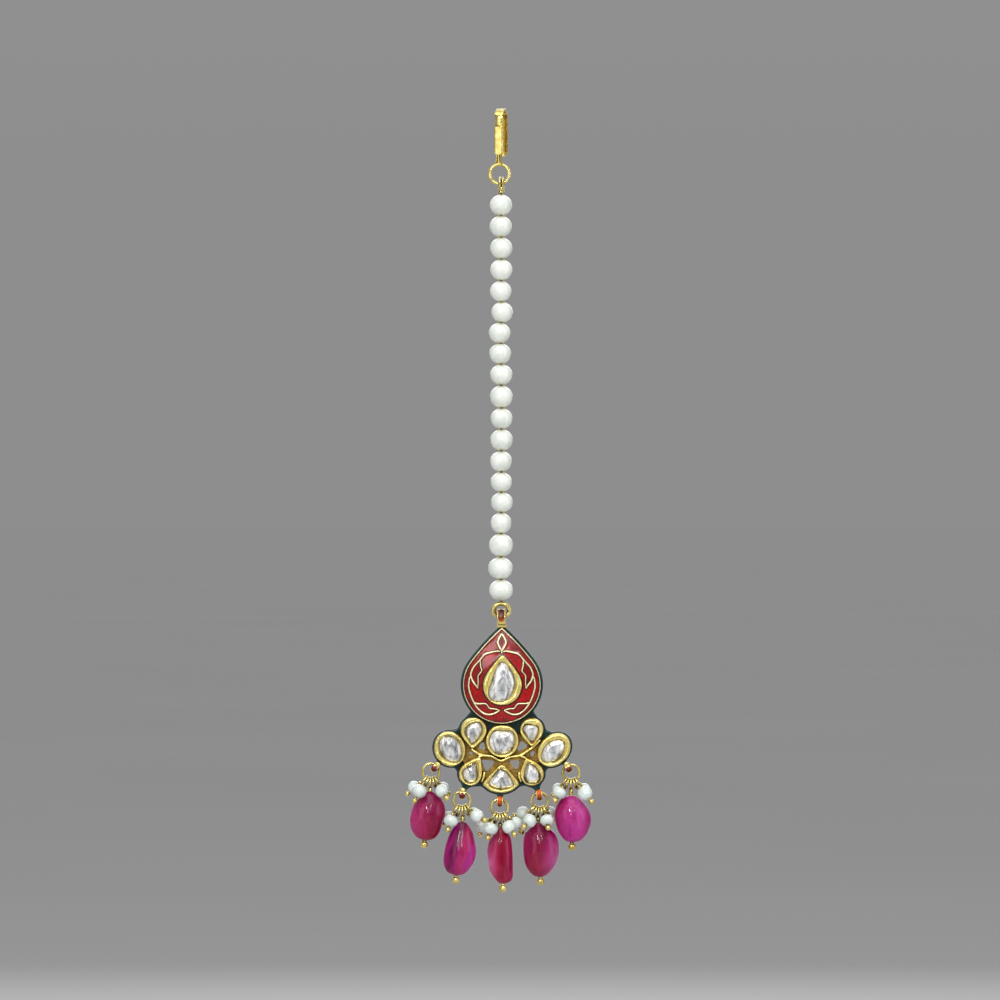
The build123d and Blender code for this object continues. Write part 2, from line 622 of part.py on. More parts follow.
def make_pendant_frame():
    """Gold plate with its border, collars, line-work, bail and lugs, one soldered piece."""
    collars = [collar(placed_face(s, 0), COLLAR_DEPTH, 0.35) for s in CLUSTER]
    collars.append(collar(fan_face(FAN, 0), COLLAR_DEPTH, 0.35))
    collars.append(collar(placed_face(MAIN_SETTING, 0), MAIN_COLLAR_DEPTH, 0.4))
    ridges = make_line_ridges()
    with BuildPart() as frame:
        with BuildSketch(front(PLATE_DEPTH)):
            cluster_faces(WEB)
            add(plaque_face(0))
            add(polygons((INFILL,)))
            add(polygons(OPENINGS), mode=Mode.SUBTRACT)
        extrude(amount=FLOOR_DEPTH - PLATE_DEPTH)
        with BuildSketch(front(PLATE_DEPTH)):
            add(plaque_face(0))
            add(plaque_face(-BORDER_WIDTH), mode=Mode.SUBTRACT)
        extrude(amount=BORDER_DEPTH - PLATE_DEPTH)
        for body in collars:
            add(body)
        add(ridges)
        with BuildSketch(front(PLATE_DEPTH)):
            with BuildLine():
                Polyline(*RIDGE)
            trace(line_width=RIDGE_WIDTH)
            add(polygons(OPENINGS), mode=Mode.SUBTRACT)
        extrude(amount=RIDGE_DEPTH - PLATE_DEPTH)
        for setting in CLUSTER + (MAIN_SETTING,):
            floor = MAIN_FLOOR_DEPTH if setting is MAIN_SETTING else FLOOR_DEPTH
            with BuildSketch(front(floor)):
                place_setting(setting, FIT_GAP, stone=True)
            extrude(amount=MAIN_COLLAR_DEPTH, mode=Mode.SUBTRACT)
        with BuildSketch(front(FLOOR_DEPTH)):
            add(fan_face(FAN_STONE, FIT_GAP))
        extrude(amount=MAIN_COLLAR_DEPTH, mode=Mode.SUBTRACT)
        add(make_bail())
        for drop in DROPS:
            add(make_lug(drop))
    return frame.part


def make_plaque_enamel():
    """Red enamel: a low dome in the plaque's border, open for the collar and the lines."""
    with BuildSketch(mode=Mode.PRIVATE) as neighbours:
        cluster_faces(FIT_GAP)
    with BuildPart() as enamel:
        with BuildSketch(front(FLOOR_DEPTH)):
            add(plaque_face(-BORDER_WIDTH - FIT_GAP))
            place_setting_cut()
            add(neighbours.sketch, mode=Mode.SUBTRACT)
            add(line_work(LINE_WIDTH + 2 * FIT_GAP), mode=Mode.SUBTRACT)
        extrude(amount=DOME_DEPTH - FLOOR_DEPTH)
        with Locations(spot(PLAQUE_X, PLAQUE_Z, DOME_DEPTH - DOME_RADIUS)):
            Sphere(DOME_RADIUS, mode=Mode.INTERSECT)
    return enamel.part


def place_setting_cut():
    """Cut the main collar's outline out of the sketch being drawn."""
    with Locations((MAIN_SETTING.x, MAIN_SETTING.z)):
        add(setting_face(MAIN_SETTING, FIT_GAP), mode=Mode.SUBTRACT)


def make_back_enamel():
    """Green enamelled body behind the gold, larger all round and in its hollows."""
    with BuildPart() as back:
        with BuildSketch(front(BACK_DEPTH)):
            cluster_faces(CLUSTER_RIM)
            add(plaque_face(GREEN_RIM))
            add(polygons((INFILL,)))
            add(polygons(HOLLOWS))
            for drop in DROPS:
                centre = lug_centre(drop)
                with BuildLine():
                    Polyline(*lug_point(drop, centre), close=True)
                make_face()
            add(polygons(OPENINGS), mode=Mode.SUBTRACT)
        extrude(amount=PLATE_DEPTH - BACK_DEPTH)
        for drop in DROPS:
            with BuildSketch(lug_plane(drop)):
                Circle(LUG_RADIUS + FIT_GAP)
            extrude(amount=LUG_WIDTH, both=True, mode=Mode.SUBTRACT)
        with BuildSketch(bail_plane()):
            Circle(BAIL_RADIUS + FIT_GAP)
        extrude(amount=BAIL_WIDTH / 2 + FIT_GAP, both=True, mode=Mode.SUBTRACT)
    return back.part


def lug_point(drop, centre):
    """Corners of the pointed tongue that backs a lug's bar."""
    way = Vector(drop.anchor_x - centre.X, 0, drop.anchor_z - centre.Z).normalized()
    across = Vector(way.Z, 0, -way.X) * 1.6
    return (
        (centre.X, centre.Z),
        (drop.anchor_x + across.X, drop.anchor_z + across.Z),
        (drop.anchor_x - across.X, drop.anchor_z - across.Z),
    )


def enamel_strip(plane, radius, width, arc):
    """Curved strip of enamel on the front of a barrel."""
    inner = radius + ENAMEL_GAP
    above, turn = arc
    with BuildPart() as strip:
        with BuildSketch(plane):
            with BuildLine():
                CenterArc((0, 0), inner + ENAMEL_THICK / 2, 180 - above, turn)
            trace(line_width=ENAMEL_THICK)
        extrude(amount=width / 2, both=True)
    return strip.part


def make_lug_enamel():
    """Enamel strips on the bail and on the five lugs."""
    bail_width = BAIL_WIDTH - 2 * ENAMEL_MARGIN
    strips = [enamel_strip(bail_plane(), BAIL_RADIUS, bail_width, BAIL_ARC)]
    lug_width = LUG_WIDTH - 2 * ENAMEL_MARGIN
    for drop in DROPS:
        strips.append(enamel_strip(lug_plane(drop), LUG_RADIUS, lug_width, LUG_ARC))
    with BuildPart() as enamel:
        for strip in strips:
            add(strip)
    return enamel.part


def make_stone(face, floor, top):
    """Flat-topped cut stone: straight girdle, sloping facets and a table."""
    outline = face.faces()[0].outer_wire()
    corners = [outline @ (side / STONE_SIDES) for side in range(STONE_SIDES)]
    middle = sum(corners, Vector(0, 0, 0)) / STONE_SIDES
    table = [middle + (corner - middle) * TABLE_SCALE for corner in corners]
    with BuildPart() as stone:
        for depth, points in ((floor, corners), (floor + STONE_GIRDLE, corners), (top, table)):
            with BuildSketch(front(depth)):
                with BuildLine():
                    Polyline(*[(point.X, point.Y) for point in points], close=True)
                make_face()
        loft(ruled=True)
    return stone.part


def make_stones():
    """Uncut-style diamonds of all nine settings, by name."""
    stones = {}
    for setting in CLUSTER:
        face = placed_face(setting, 0, stone=True)
        stones[setting.name] = make_stone(face, FLOOR_DEPTH + FIT_GAP, COLLAR_DEPTH)
    fan = fan_face(FAN_STONE, 0)
    stones["fan_stone"] = make_stone(fan, FLOOR_DEPTH + FIT_GAP, COLLAR_DEPTH)
    main = placed_face(MAIN_SETTING, 0, stone=True)
    stones[MAIN_SETTING.name] = make_stone(main, MAIN_FLOOR_DEPTH + FIT_GAP, MAIN_COLLAR_DEPTH)
    return stones


def make_jump_ring(drop):
    """Round wire ring through a lug, facing the viewer."""
    with BuildPart() as link:
        ring(spot(drop.x, drop.z, LUG_DEPTH), (0, 1, 0), RING_RADIUS, RING_WIRE)
    return link.part


def pin_start(drop, angle):
    """Lowest point of a pin's loop, where its straight wire leaves."""
    loop = ring_plane(drop, angle)
    return loop.origin + loop.x_dir * PIN_LOOP_RADIUS


def end_ball(drop, x, z, depth=0.0):
    """Centre of a pin's end ball, from the ring's centre."""
    return spot(drop.x + x, drop.z + z, LUG_DEPTH + depth)


def make_ruby(drop, sections):
    """Tumbled ruby bead: a skin through oval sections, drilled for its pin."""
    start = pin_start(drop, drop.loop)
    end = end_ball(drop, drop.ball_x, drop.ball_z)
    way = (end - start).normalized()
    first = start + way * (drop.top - RING_RADIUS - PIN_LOOP_DROP - PIN_LOOP_RADIUS)
    length = drop.bottom - drop.top
    with BuildPart() as ruby:
        for section in sections:
            centre = first + way * length * section.place
            half_width = (section.left + section.right) / 2
            with BuildSketch(Plane(origin=centre, x_dir=(0, -1, 0), z_dir=way)):
                with Locations((0, (section.left - section.right) / 2)):
                    Ellipse(half_width * RUBY_DEPTH_RATIO, half_width)
        loft()
        rod(first - way, first + way * (length + 1), PIN_DRILL, Mode.SUBTRACT)
    return ruby.part


def make_ruby_pin(drop):
    """Gold pin of a ruby: loop on the jump ring, wraps, straight wire and end ball."""
    start = pin_start(drop, drop.loop)
    end = end_ball(drop, drop.ball_x, drop.ball_z)
    way = (end - start).normalized()
    loop = ring_plane(drop, drop.loop)
    with BuildPart() as pin:
        pin_loop(loop)
        rod(start, start + way * 2 * PIN_UPPER, PIN_UPPER)
        head_pin(start + way * PIN_UPPER, end, PIN_SHAFT, END_BALL)
        for turn in range(drop.wraps):
            reach = PIN_WRAP_START + turn * PIN_WRAP_PITCH
            centre = start + way * (reach - RING_RADIUS - PIN_LOOP_DROP - PIN_LOOP_RADIUS)
            ring(centre, way, PIN_WRAP_RADIUS, PIN_WIRE)
    return pin.part


def seed_line(drop, seed):
    """Centre of a seed pearl, the way of the pin through it and the pin's end ball.

    Where the ball looks too close to the pearl, the pin leans away from the ruby.
    """
    reach = seed.height / 2 + SEED_BALL + FIT_GAP
    seen = hypot(seed.ball_x - seed.x, seed.ball_z - seed.z)
    lean = sqrt(max(reach**2 - seen**2, 0))
    end_depth = seed.depth + (lean if seed.depth > 0 else -lean)
    centre = end_ball(drop, seed.x, seed.z, seed.depth)
    end = end_ball(drop, seed.ball_x, seed.ball_z, end_depth)
    return centre, (end - centre).normalized(), end


def make_seed_pearls(drop, seeds):
    """Four small drilled pearls of one drop, loose solids clear of each other."""
    beads = []
    for seed in seeds:
        centre, way, _ = seed_line(drop, seed)
        beads.append(bead(centre, way, seed.width, seed.height, PIN_DRILL))
    with BuildPart() as pearls:
        for body in beads:
            add(body)
    return pearls.part


def make_pearl_pins(drop, seeds):
    """Four pins of one drop's seed pearls, each with a loop, a bend and an end ball."""
    pins = []
    for seed in seeds:
        centre, way, end = seed_line(drop, seed)
        bend = centre - way * (seed.height / 2 + 2 * PIN_WIRE)
        start = pin_start(drop, drop.loop + seed.loop)
        loop = ring_plane(drop, drop.loop + seed.loop)
        with BuildPart() as pin:
            pin_loop(loop)
            rod(start, bend + (bend - start).normalized() * PIN_WIRE / 2, PIN_UPPER)
            head_pin(bend, end, PIN_SHAFT, SEED_BALL)
        pins.append(pin.part)
    with BuildPart() as group:
        for body in pins:
            add(body)
    return group.part


def save(part, name):
    """Label one finished piece and write its file."""
    part.label = name
    export_step(part, f"parts/{name}.step")


def main():
    os.makedirs("parts", exist_ok=True)
    save(make_hair_hook(), "hair_hook")
    save(make_string_wire(), "string_wire")
    for number, pearl in enumerate(make_pearls(), 1):
        save(pearl, f"pearl_{number:02d}")
    save(make_pendant_frame(), "pendant_frame")
    save(make_plaque_enamel(), "plaque_enamel")
    save(make_back_enamel(), "back_enamel")
    save(make_lug_enamel(), "lug_enamel")
    for name, stone in make_stones().items():
        save(stone, name)
    for number, (drop, sections, seeds) in enumerate(zip(DROPS, RUBY_SECTIONS, SEEDS), 1):
        save(make_jump_ring(drop), f"jump_ring_{number}")
        save(make_ruby(drop, sections), f"ruby_{number}")
        save(make_ruby_pin(drop), f"ruby_pin_{number}")
        save(make_seed_pearls(drop, seeds), f"seed_pearls_{number}")
        save(make_pearl_pins(drop, seeds), f"pearl_pins_{number}")


main()
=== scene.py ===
import math
import random
from collections import namedtuple

import bmesh
import bpy
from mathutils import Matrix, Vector, kdtree, noise


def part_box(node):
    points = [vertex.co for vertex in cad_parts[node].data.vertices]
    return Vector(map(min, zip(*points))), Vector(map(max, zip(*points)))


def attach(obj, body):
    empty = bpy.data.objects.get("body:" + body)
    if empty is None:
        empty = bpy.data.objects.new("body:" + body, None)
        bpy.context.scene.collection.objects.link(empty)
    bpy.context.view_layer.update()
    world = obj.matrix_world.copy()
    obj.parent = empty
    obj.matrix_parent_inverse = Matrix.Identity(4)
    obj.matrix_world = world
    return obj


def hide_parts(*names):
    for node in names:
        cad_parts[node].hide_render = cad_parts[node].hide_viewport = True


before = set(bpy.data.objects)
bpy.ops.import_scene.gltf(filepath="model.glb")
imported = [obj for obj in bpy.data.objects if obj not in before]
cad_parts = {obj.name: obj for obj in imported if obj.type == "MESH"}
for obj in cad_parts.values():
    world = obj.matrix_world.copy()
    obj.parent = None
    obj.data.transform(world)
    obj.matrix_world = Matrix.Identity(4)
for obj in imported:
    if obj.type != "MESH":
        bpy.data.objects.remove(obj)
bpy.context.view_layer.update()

# Maang tikka: hair hook, string of pearls, and an enamelled, stone-set pendant with five
# ruby drops.  Shapes are worked out in millimetres in the shared frame, +X to the right
# seen from the front, the front towards -Y and +Z up, and become metres in build().
MM = 0.001
TURN = 2 * math.pi
RIGHT = Vector((1, 0, 0))
DEEP = Vector((0, 1, 0))
FRONT = Vector((0, -1, 0))
UP = Vector((0, 0, 1))

# Depths are measured towards the front from the pendant's middle plane.
STRING_Y = -1.4823
PENDANT_Y = STRING_Y + 0.18
PLATE_DEPTH = -0.3
FLOOR_DEPTH = 0.5
LUG_DEPTH = 0.1


# ---------------------------------------------------------------- meshes
def flat(x, z, depth=0.0):
    """Point of the pendant given by its place in the front view and its depth."""
    return Vector((x, PENDANT_Y - depth, z))


def upright(corners):
    """Places of the front view as points in the plane of the origin."""
    return [Vector((x, 0, z)) for x, z in corners]


def swing(first, second, angle):
    """Direction that turns from the first towards the second."""
    return first * math.cos(angle) + second * math.sin(angle)


def shares(steps):
    """Even shares of a way, from 0 to 1."""
    return [k / steps for k in range(steps + 1)]


def peak(value, middle, width):
    """Bell that is 1 at its middle."""
    return math.exp(-((value - middle) / width) ** 2)


class Shape:
    """Points and faces of one piece, gathered part by part; each point has a tone."""

    def __init__(self):
        self.points = []
        self.faces = []
        self.tones = []

    def skin(self, rows, closed=False, tones=None):
        """Join rows of points, each a closed loop, and cap the ends of an open skin."""
        base = len(self.points)
        width = len(rows[0])
        count = len(rows)
        for index, row in enumerate(rows):
            self.points.extend(row)
            tone = tones[index] if tones else 0.0
            self.tones.extend(tone if isinstance(tone, list) else [tone] * width)
        for index in range(count if closed else count - 1):
            here = base + index * width
            there = base + (index + 1) % count * width
            for column in range(width):
                after = (column + 1) % width
                self.faces.append((here + column, here + after, there + after, there + column))
        if not closed:
            self.faces.append(tuple(range(base, base + width))[::-1])
            self.faces.append(tuple(range(base + (count - 1) * width, base + count * width)))

    def build(self, name, material, crease=40.0):
        """Make the object, in metres, with outward faces and edges sharp past the crease."""
        mesh = bpy.data.meshes.new(name)
        mesh.from_pydata([point * MM for point in self.points], [], self.faces)
        tone = mesh.attributes.new("tone", "FLOAT", "POINT")
        tone.data.foreach_set("value", self.tones)
        return dress(name, mesh, material, crease)


def wear(piece, width, angle):
    """Round off the edges that are sharper than an angle."""
    bevel = piece.modifiers.new("worn edges", "BEVEL")
    bevel.width = width * MM
    bevel.segments = 2
    bevel.limit_method = "ANGLE"
    bevel.angle_limit = math.radians(angle)


def dress(name, mesh, material, crease=40.0):
    """Link a mesh as a piece of its own, smooth, in one material."""
    work = bmesh.new()
    work.from_mesh(mesh)
    bmesh.ops.recalc_face_normals(work, faces=work.faces)
    for edge in work.edges:
        edge.smooth = edge.calc_face_angle(0.0) < math.radians(crease)
    for face in work.faces:
        face.smooth = True
    work.to_mesh(mesh)
    work.free()
    mesh.materials.clear()
    mesh.materials.append(material)
    piece = bpy.data.objects.new(name, mesh)
    bpy.context.scene.collection.objects.link(piece)
    return piece


def place(piece, body, slot, *replaced):
    """Fix a piece to its body and hide the solids it stands for; the slot is not used."""
    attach(piece, body)
    if replaced:
        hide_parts(*replaced)


def blend_curve(corners, steps, closed=True):
    """Smooth line through corners, with the given steps between each two."""
    count = len(corners)
    spans = count if closed else count - 1
    line = []
    for index in range(spans):
        if closed:
            a, b, c, d = (corners[(index + k) % count] for k in (-1, 0, 1, 2))
        else:
            a, b, c, d = (corners[min(max(index + k, 0), count - 1)] for k in (-1, 0, 1, 2))
        for step in range(steps):
            t = step / steps
            line.append(
                0.5 * (2 * b + (c - a) * t + (2 * a - 5 * b + 4 * c - d) * t**2
                       + (3 * b - a - 3 * c + d) * t**3)
            )
    if not closed:
        line.append(corners[-1].copy())
    return line


def soften(line, passes):
    """Pull each point of a closed line towards its neighbours."""
    for _ in range(passes):
        count = len(line)
        line = [
            line[i] * 0.5 + (line[i - 1] + line[(i + 1) % count]) * 0.25 for i in range(count)
        ]
    return line


def frames(path, closed, up):
    """Each point of a path with two directions square to it; the first one follows up."""
    count = len(path)
    normal = None
    found = []
    for index, point in enumerate(path):
        before = path[index - 1] if closed or index else point
        after = path[(index + 1) % count] if closed or index < count - 1 else point
        tangent = (after - before).normalized()
        guide = up(point) if callable(up) else up or normal or tangent.orthogonal()
        normal = (guide - tangent * guide.dot(tangent)).normalized()
        found.append((point, normal, tangent.cross(normal)))
    return found


def tube(shape, path, radius, sides=12, closed=False, up=None, squash=1.0):
    """Wire along a path; radius is a number or one for each point, squash flattens it."""
    rows = []
    for index, (point, normal, side) in enumerate(frames(path, closed, up)):
        reach = radius[index] if isinstance(radius, list) else radius
        rows.append([
            point + (side * math.cos(a) + normal * (math.sin(a) * squash)) * reach
            for a in (TURN * k / sides for k in range(sides))
        ])
    shape.skin(rows, closed)


def wire(shape, path, radius, sides=12, up=None):
    """Open wire with rounded ends."""
    start = (path[0] - path[1]).normalized()
    end = (path[-1] - path[-2]).normalized()
    steps = (0.12, 0.4, 0.7, 0.92)
    head = [path[0] + start * radius * math.sqrt(1 - s * s) for s in steps]
    tail = [path[-1] + end * radius * math.sqrt(1 - s * s) for s in steps[::-1]]
    reach = [radius * s for s in steps] + [radius] * len(path) + [radius * s for s in steps[::-1]]
    tube(shape, head + path + tail, reach, sides, up=up)


def square_to(axis):
    """An axis of length 1 with two directions square to it."""
    axis = axis.normalized()
    across = axis.orthogonal().normalized()
    return axis, across, axis.cross(across)


def lathe(shape, centre, axis, profile, sides=32, closed=False, tones=None, wobble=None):
    """Turned form: the profile gives places along the axis and radii."""
    axis, across, side = square_to(axis)
    rows = []
    for along, radius in profile:
        row = []
        for k in range(sides):
            point = centre + axis * along + swing(across, side, TURN * k / sides) * radius
            row.append(wobble(point) if wobble else point)
        rows.append(row)
    shape.skin(rows, closed, tones)


def ball(shape, centre, axis, radius, rows=12, sides=20, squash=1.0):
    """Round or slightly flattened ball."""
    profile = [
        (-radius * squash * math.cos(math.pi * (k + 0.5) / rows),
         radius * math.sin(math.pi * (k + 0.5) / rows))
        for k in range(rows)
    ]
    lathe(shape, centre, axis, profile, sides)


def helix(centre, axis, radius, pitch, turns, start=0.0):
    """Coil of wire round an axis."""
    axis, across, side = square_to(axis)
    steps = 18
    path = []
    for k in range(int(turns * steps) + 1):
        out = swing(across, side, start + TURN * k / steps)
        path.append(centre + out * radius + axis * (pitch * k / steps))
    return path


def circle(centre, first, second, radius, steps, start=0.0, sweep=TURN):
    """Arc from the first direction towards the second; a whole turn is left open."""
    last = steps if sweep == TURN else steps - 1
    return [
        centre + swing(first, second, start + sweep * k / last) * radius for k in range(steps)
    ]


# ---------------------------------------------------------------- materials
WHITE = (1, 1, 1)


def fill(node, **values):
    """Set a node's sockets; underscores stand for spaces."""
    for socket, value in values.items():
        node.inputs[socket.replace("_", " ")].default_value = value


class Paint:
    """A principled material that is put together node by node."""

    def __init__(self, name, **settings):
        self.material = bpy.data.materials.new(name)
        self.material.use_nodes = True
        self.tree = self.material.node_tree
        self.shader = self.tree.nodes["Principled BSDF"]
        fill(self.shader, **settings)
        self.coordinates = self.add("ShaderNodeTexCoord").outputs["Object"]

    def add(self, kind, **values):
        """New node with its properties set."""
        node = self.tree.nodes.new(kind)
        for key, value in values.items():
            setattr(node, key, value)
        return node

    def link(self, source, node, socket):
        self.tree.links.new(source, node.inputs[socket])

    def texture(self, kind, stretch, **sockets):
        """Texture laid over the piece, stretched along its axes."""
        mapping = self.add("ShaderNodeMapping")
        fill(mapping, Scale=stretch)
        self.link(self.coordinates, mapping, "Vector")
        node = self.add(kind)
        fill(node, **sockets)
        self.link(mapping.outputs["Vector"], node, "Vector")
        return node

    def grain(self, scale, detail=3.0, stretch=(1, 1, 1), distortion=0.0):
        """Cloudy noise; scale is in features per metre."""
        noises = {"Scale": scale, "Detail": detail, "Distortion": distortion}
        return self.texture("ShaderNodeTexNoise", stretch, **noises).outputs["Fac"]

    def cells(self, scale, stretch):
        """Crackled cells, by the distance to their borders."""
        node = self.texture("ShaderNodeTexVoronoi", stretch, Scale=scale)
        node.feature = "DISTANCE_TO_EDGE"
        return node.outputs["Distance"]

    def attribute(self, name="tone"):
        """Value that the mesh carries at each of its points."""
        return self.add("ShaderNodeAttribute", attribute_name=name).outputs["Fac"]

    def ramp(self, source, *stops):
        """Colours that follow a value, each stop with its position and colour."""
        node = self.add("ShaderNodeValToRGB")
        points = node.color_ramp.elements
        while len(points) < len(stops):
            points.new(0.5)
        for point, (position, colour) in zip(points, stops):
            point.position = position
            point.color = (*colour, 1.0)
        self.link(source, node, "Fac")
        return node.outputs["Color"]

    def mix(self, factor, first, second, mode="MIX"):
        """Two colours or sockets mixed by a number or a socket."""
        node = self.add("ShaderNodeMix", data_type="RGBA", blend_type=mode)
        if isinstance(factor, float):
            fill(node, Factor=factor)
        else:
            self.link(factor, node, "Factor")
        for socket, source in (("A", first), ("B", second)):
            if isinstance(source, tuple):
                node.inputs[socket].default_value = (*source, 1.0)
            else:
                self.link(source, node, socket)
        return node.outputs["Result"]

    def colour(self, source):
        self.link(source, self.shader, "Base Color")

    def shaded(self, body, reach, dark, shade, light):
        """Base colour: the body's, times painted shade in crevices from ambient occlusion; the open
        surface keeps its own.
        """
        crevice = self.add("ShaderNodeAmbientOcclusion", samples=8)
        fill(crevice, Distance=reach)
        shadow = self.ramp(crevice.outputs["AO"], (dark, shade), (light, WHITE))
        self.colour(self.mix(1.0, body, shadow, "MULTIPLY"))

    def polish(self, scale, low, high, start=0.3):
        """Roughness between two limits, in fine patches."""
        node = self.add("ShaderNodeMapRange")
        fill(node, From_Min=start, From_Max=0.7, To_Min=low, To_Max=high)
        self.link(self.grain(scale, 4), node, "Value")
        self.link(node.outputs["Result"], self.shader, "Roughness")

    def relief(self, *layers):
        """Bumps laid over each other: each layer is a height, its strength and its depth."""
        normal = None
        for height, strength, depth in layers:
            node = self.add("ShaderNodeBump")
            fill(node, Strength=strength, Distance=depth)
            self.link(height, node, "Height")
            if normal:
                self.link(normal, node, "Normal")
            normal = node.outputs["Normal"]
        self.link(normal, self.shader, "Normal")


def hue(red, green, blue):
    """Linear colour of a screen colour with channels from 0 to 255."""
    return tuple((channel / 255) ** 2.2 for channel in (red, green, blue))


def gold(name, pale, deep, shade, smooth, rough, dents=0.25, reach=0.0006):
    """Soft polished 22 carat gold: burnished dents, fine scratches, brown painted shade in crevices.
    """
    paint = Paint(name, Metallic=0.86, IOR=1.5)
    body = paint.ramp(paint.grain(750, 3), (0.3, deep), (0.68, pale))
    # The tone mixes in amber: painted shade and gold-on-gold reflection, carried by the hook only.
    painted_amber_shade = paint.mix(paint.attribute(), body, hue(150, 118, 34))
    paint.shaded(painted_amber_shade, reach, 0.3, shade, 0.9)
    paint.polish(4200, smooth, rough)
    paint.relief(
        (paint.grain(600, 1), dents, 0.00014),
        (paint.grain(5000, 3, (1, 1, 0.3)), 0.05, 0.00002),
    )
    return paint.material


def pearl_paint(name, body, shadow, hole, glow):
    """Nacre: soft depth, a satin coat and a warm ring round the drill hole."""
    paint = Paint(
        name, Subsurface_Weight=0.25, Subsurface_Scale=0.001, Subsurface_Radius=glow,
        Coat_Weight=0.9, Coat_Roughness=0.1, Coat_IOR=1.6, IOR=1.4,
    )
    clouds = paint.ramp(paint.grain(520, 3, (1, 1, 0.6)), (0.32, shadow), (0.62, body))
    skin = paint.mix(paint.attribute(), clouds, hole)
    # Painted shade: crevices between pearls and wires are darkened to a warm tint.
    paint.shaded(skin, 0.0011, 0.3, (0.93, 0.88, 0.68), 0.85)
    paint.polish(2600, 0.2, 0.34)
    paint.relief((paint.grain(1400, 4, (1, 1, 0.6)), 0.1, 0.00004))
    return paint.material


def ruby_paint(name, upper, lower):
    """Tumbled ruby: colour zones across the bead's upper and lower half, some of them painted
    highlights and pale rims, veils inside.
    """
    paint = Paint(
        name, Subsurface_Weight=0.2, Subsurface_Scale=0.001, Subsurface_Radius=(1.0, 0.3, 0.6),
        IOR=1.15, Coat_Weight=0.5, Coat_Roughness=0.035, Coat_IOR=1.5, Sheen_Weight=1.0,
        Sheen_Roughness=0.22, Sheen_Tint=(1.0, 0.7, 0.86, 1.0),
    )
    high, low = (
        paint.ramp(paint.attribute(), *((stop, hue(*colour)) for stop, *colour in zones))
        for zones in (upper, lower)
    )
    body = paint.mix(paint.attribute("level"), high, low)
    veils = paint.ramp(
        paint.grain(520, 5, (1.8, 1, 0.4), 0.8),
        (0.34, (0.58, 0.36, 0.48)), (0.5, (0.84, 0.72, 0.8)), (0.68, (0.9, 0.8, 0.86)),
    )
    silk = paint.ramp(
        paint.grain(260, 4, (2.4, 1, 0.5), 0.5), (0.52, (0, 0, 0)), (0.74, (0.12, 0.12, 0.12))
    )
    veiled = paint.mix(0.85, body, veils, "MULTIPLY")
    paint.colour(paint.mix(silk, veiled, hue(200, 95, 140)))
    paint.polish(3000, 0.16, 0.3, 0.35)
    paint.relief((paint.grain(420, 3), 0.12, 0.0001))
    return paint.material


def enamel_paint(name, deep, bright, dark, gloss=0.06, sheen=0.0):
    """Fired enamel: the tone takes it from its bright field to its dark colour, for darker enamel
    and for painted shade beside the gold; crevices take painted shade.
    """
    paint = Paint(
        name, Coat_Weight=0.5, Coat_Roughness=gloss, Coat_IOR=1.5, IOR=1.3,
        Sheen_Weight=sheen, Sheen_Roughness=0.25,
    )
    field = paint.ramp(paint.grain(750, 5, (1, 1, 1), 0.5), (0.32, deep), (0.6, bright))
    # On the plaque the tone is the leaves' darker enamel and painted shade beside the gold lines and
    # walls.
    thick = paint.mix(paint.attribute(), field, dark)
    paint.shaded(thick, 0.0006, 0.3, (0.2, 0.12, 0.1), 0.9)
    paint.polish(4000, 0.2, 0.36)
    paint.relief(
        (paint.grain(600, 2), 0.18, 0.00009),
        (paint.grain(6000, 3), 0.05, 0.00002),
    )
    return paint.material


def diamond_paint():
    """Foil-backed uncut diamond: silver with painted highlights as white streaks, smoky veins, and
    painted shade in crevices.
    """
    paint = Paint(
        "polki_diamond", Metallic=0.4, IOR=1.9, Coat_Weight=0.8, Coat_Roughness=0.03,
        Coat_IOR=1.9,
    )
    # Grey foil whose white patches are painted highlights.
    grey_and_painted_glints = paint.ramp(
        paint.grain(520, 4, (1.5, 1, 0.7), 1.1),
        (0.33, hue(120, 121, 122)), (0.43, hue(188, 189, 190)), (0.52, hue(222, 223, 223)),
        (0.62, hue(252, 252, 252)),
    )
    vein = paint.ramp(paint.cells(420, (1.4, 1, 0.8)), (0.0, (0.5, 0.5, 0.5)), (0.05, WHITE))
    body = paint.mix(0.75, grey_and_painted_glints, vein, "MULTIPLY")
    paint.shaded(body, 0.0006, 0.2, (0.22, 0.19, 0.16), 0.7)
    paint.polish(2500, 0.08, 0.24)
    paint.relief((paint.grain(1000, 3, (1.4, 1, 0.6), 0.5), 0.35, 0.0001))
    return paint.material


# Crevices of this gold take brown painted shade.
GOLD = gold(
    "kundan_gold", (1.0, 0.87, 0.34), (0.88, 0.68, 0.17), (0.14, 0.065, 0.01), 0.14, 0.26
)
# Painted shade: a darkened copy of the gold, with strong crevice shade, for the plate deep among the
# collars.
PAINTED_SHADE_PLATE_GOLD = gold(
    "plate_gold_painted_shade", (0.72, 0.46, 0.11), (0.24, 0.12, 0.02), (0.04, 0.015, 0.005), 0.2, 0.34,
    dents=0.3, reach=0.0016,
)
# Painted shade: a darker copy of the gold, with strong crevice shade, for the wires and pin fans.
PAINTED_SHADE_WIRE_GOLD = gold(
    "wire_gold", (0.96, 0.83, 0.32), (0.62, 0.46, 0.1), (0.04, 0.015, 0.002), 0.12, 0.22,
    dents=0.2, reach=0.0014,
)
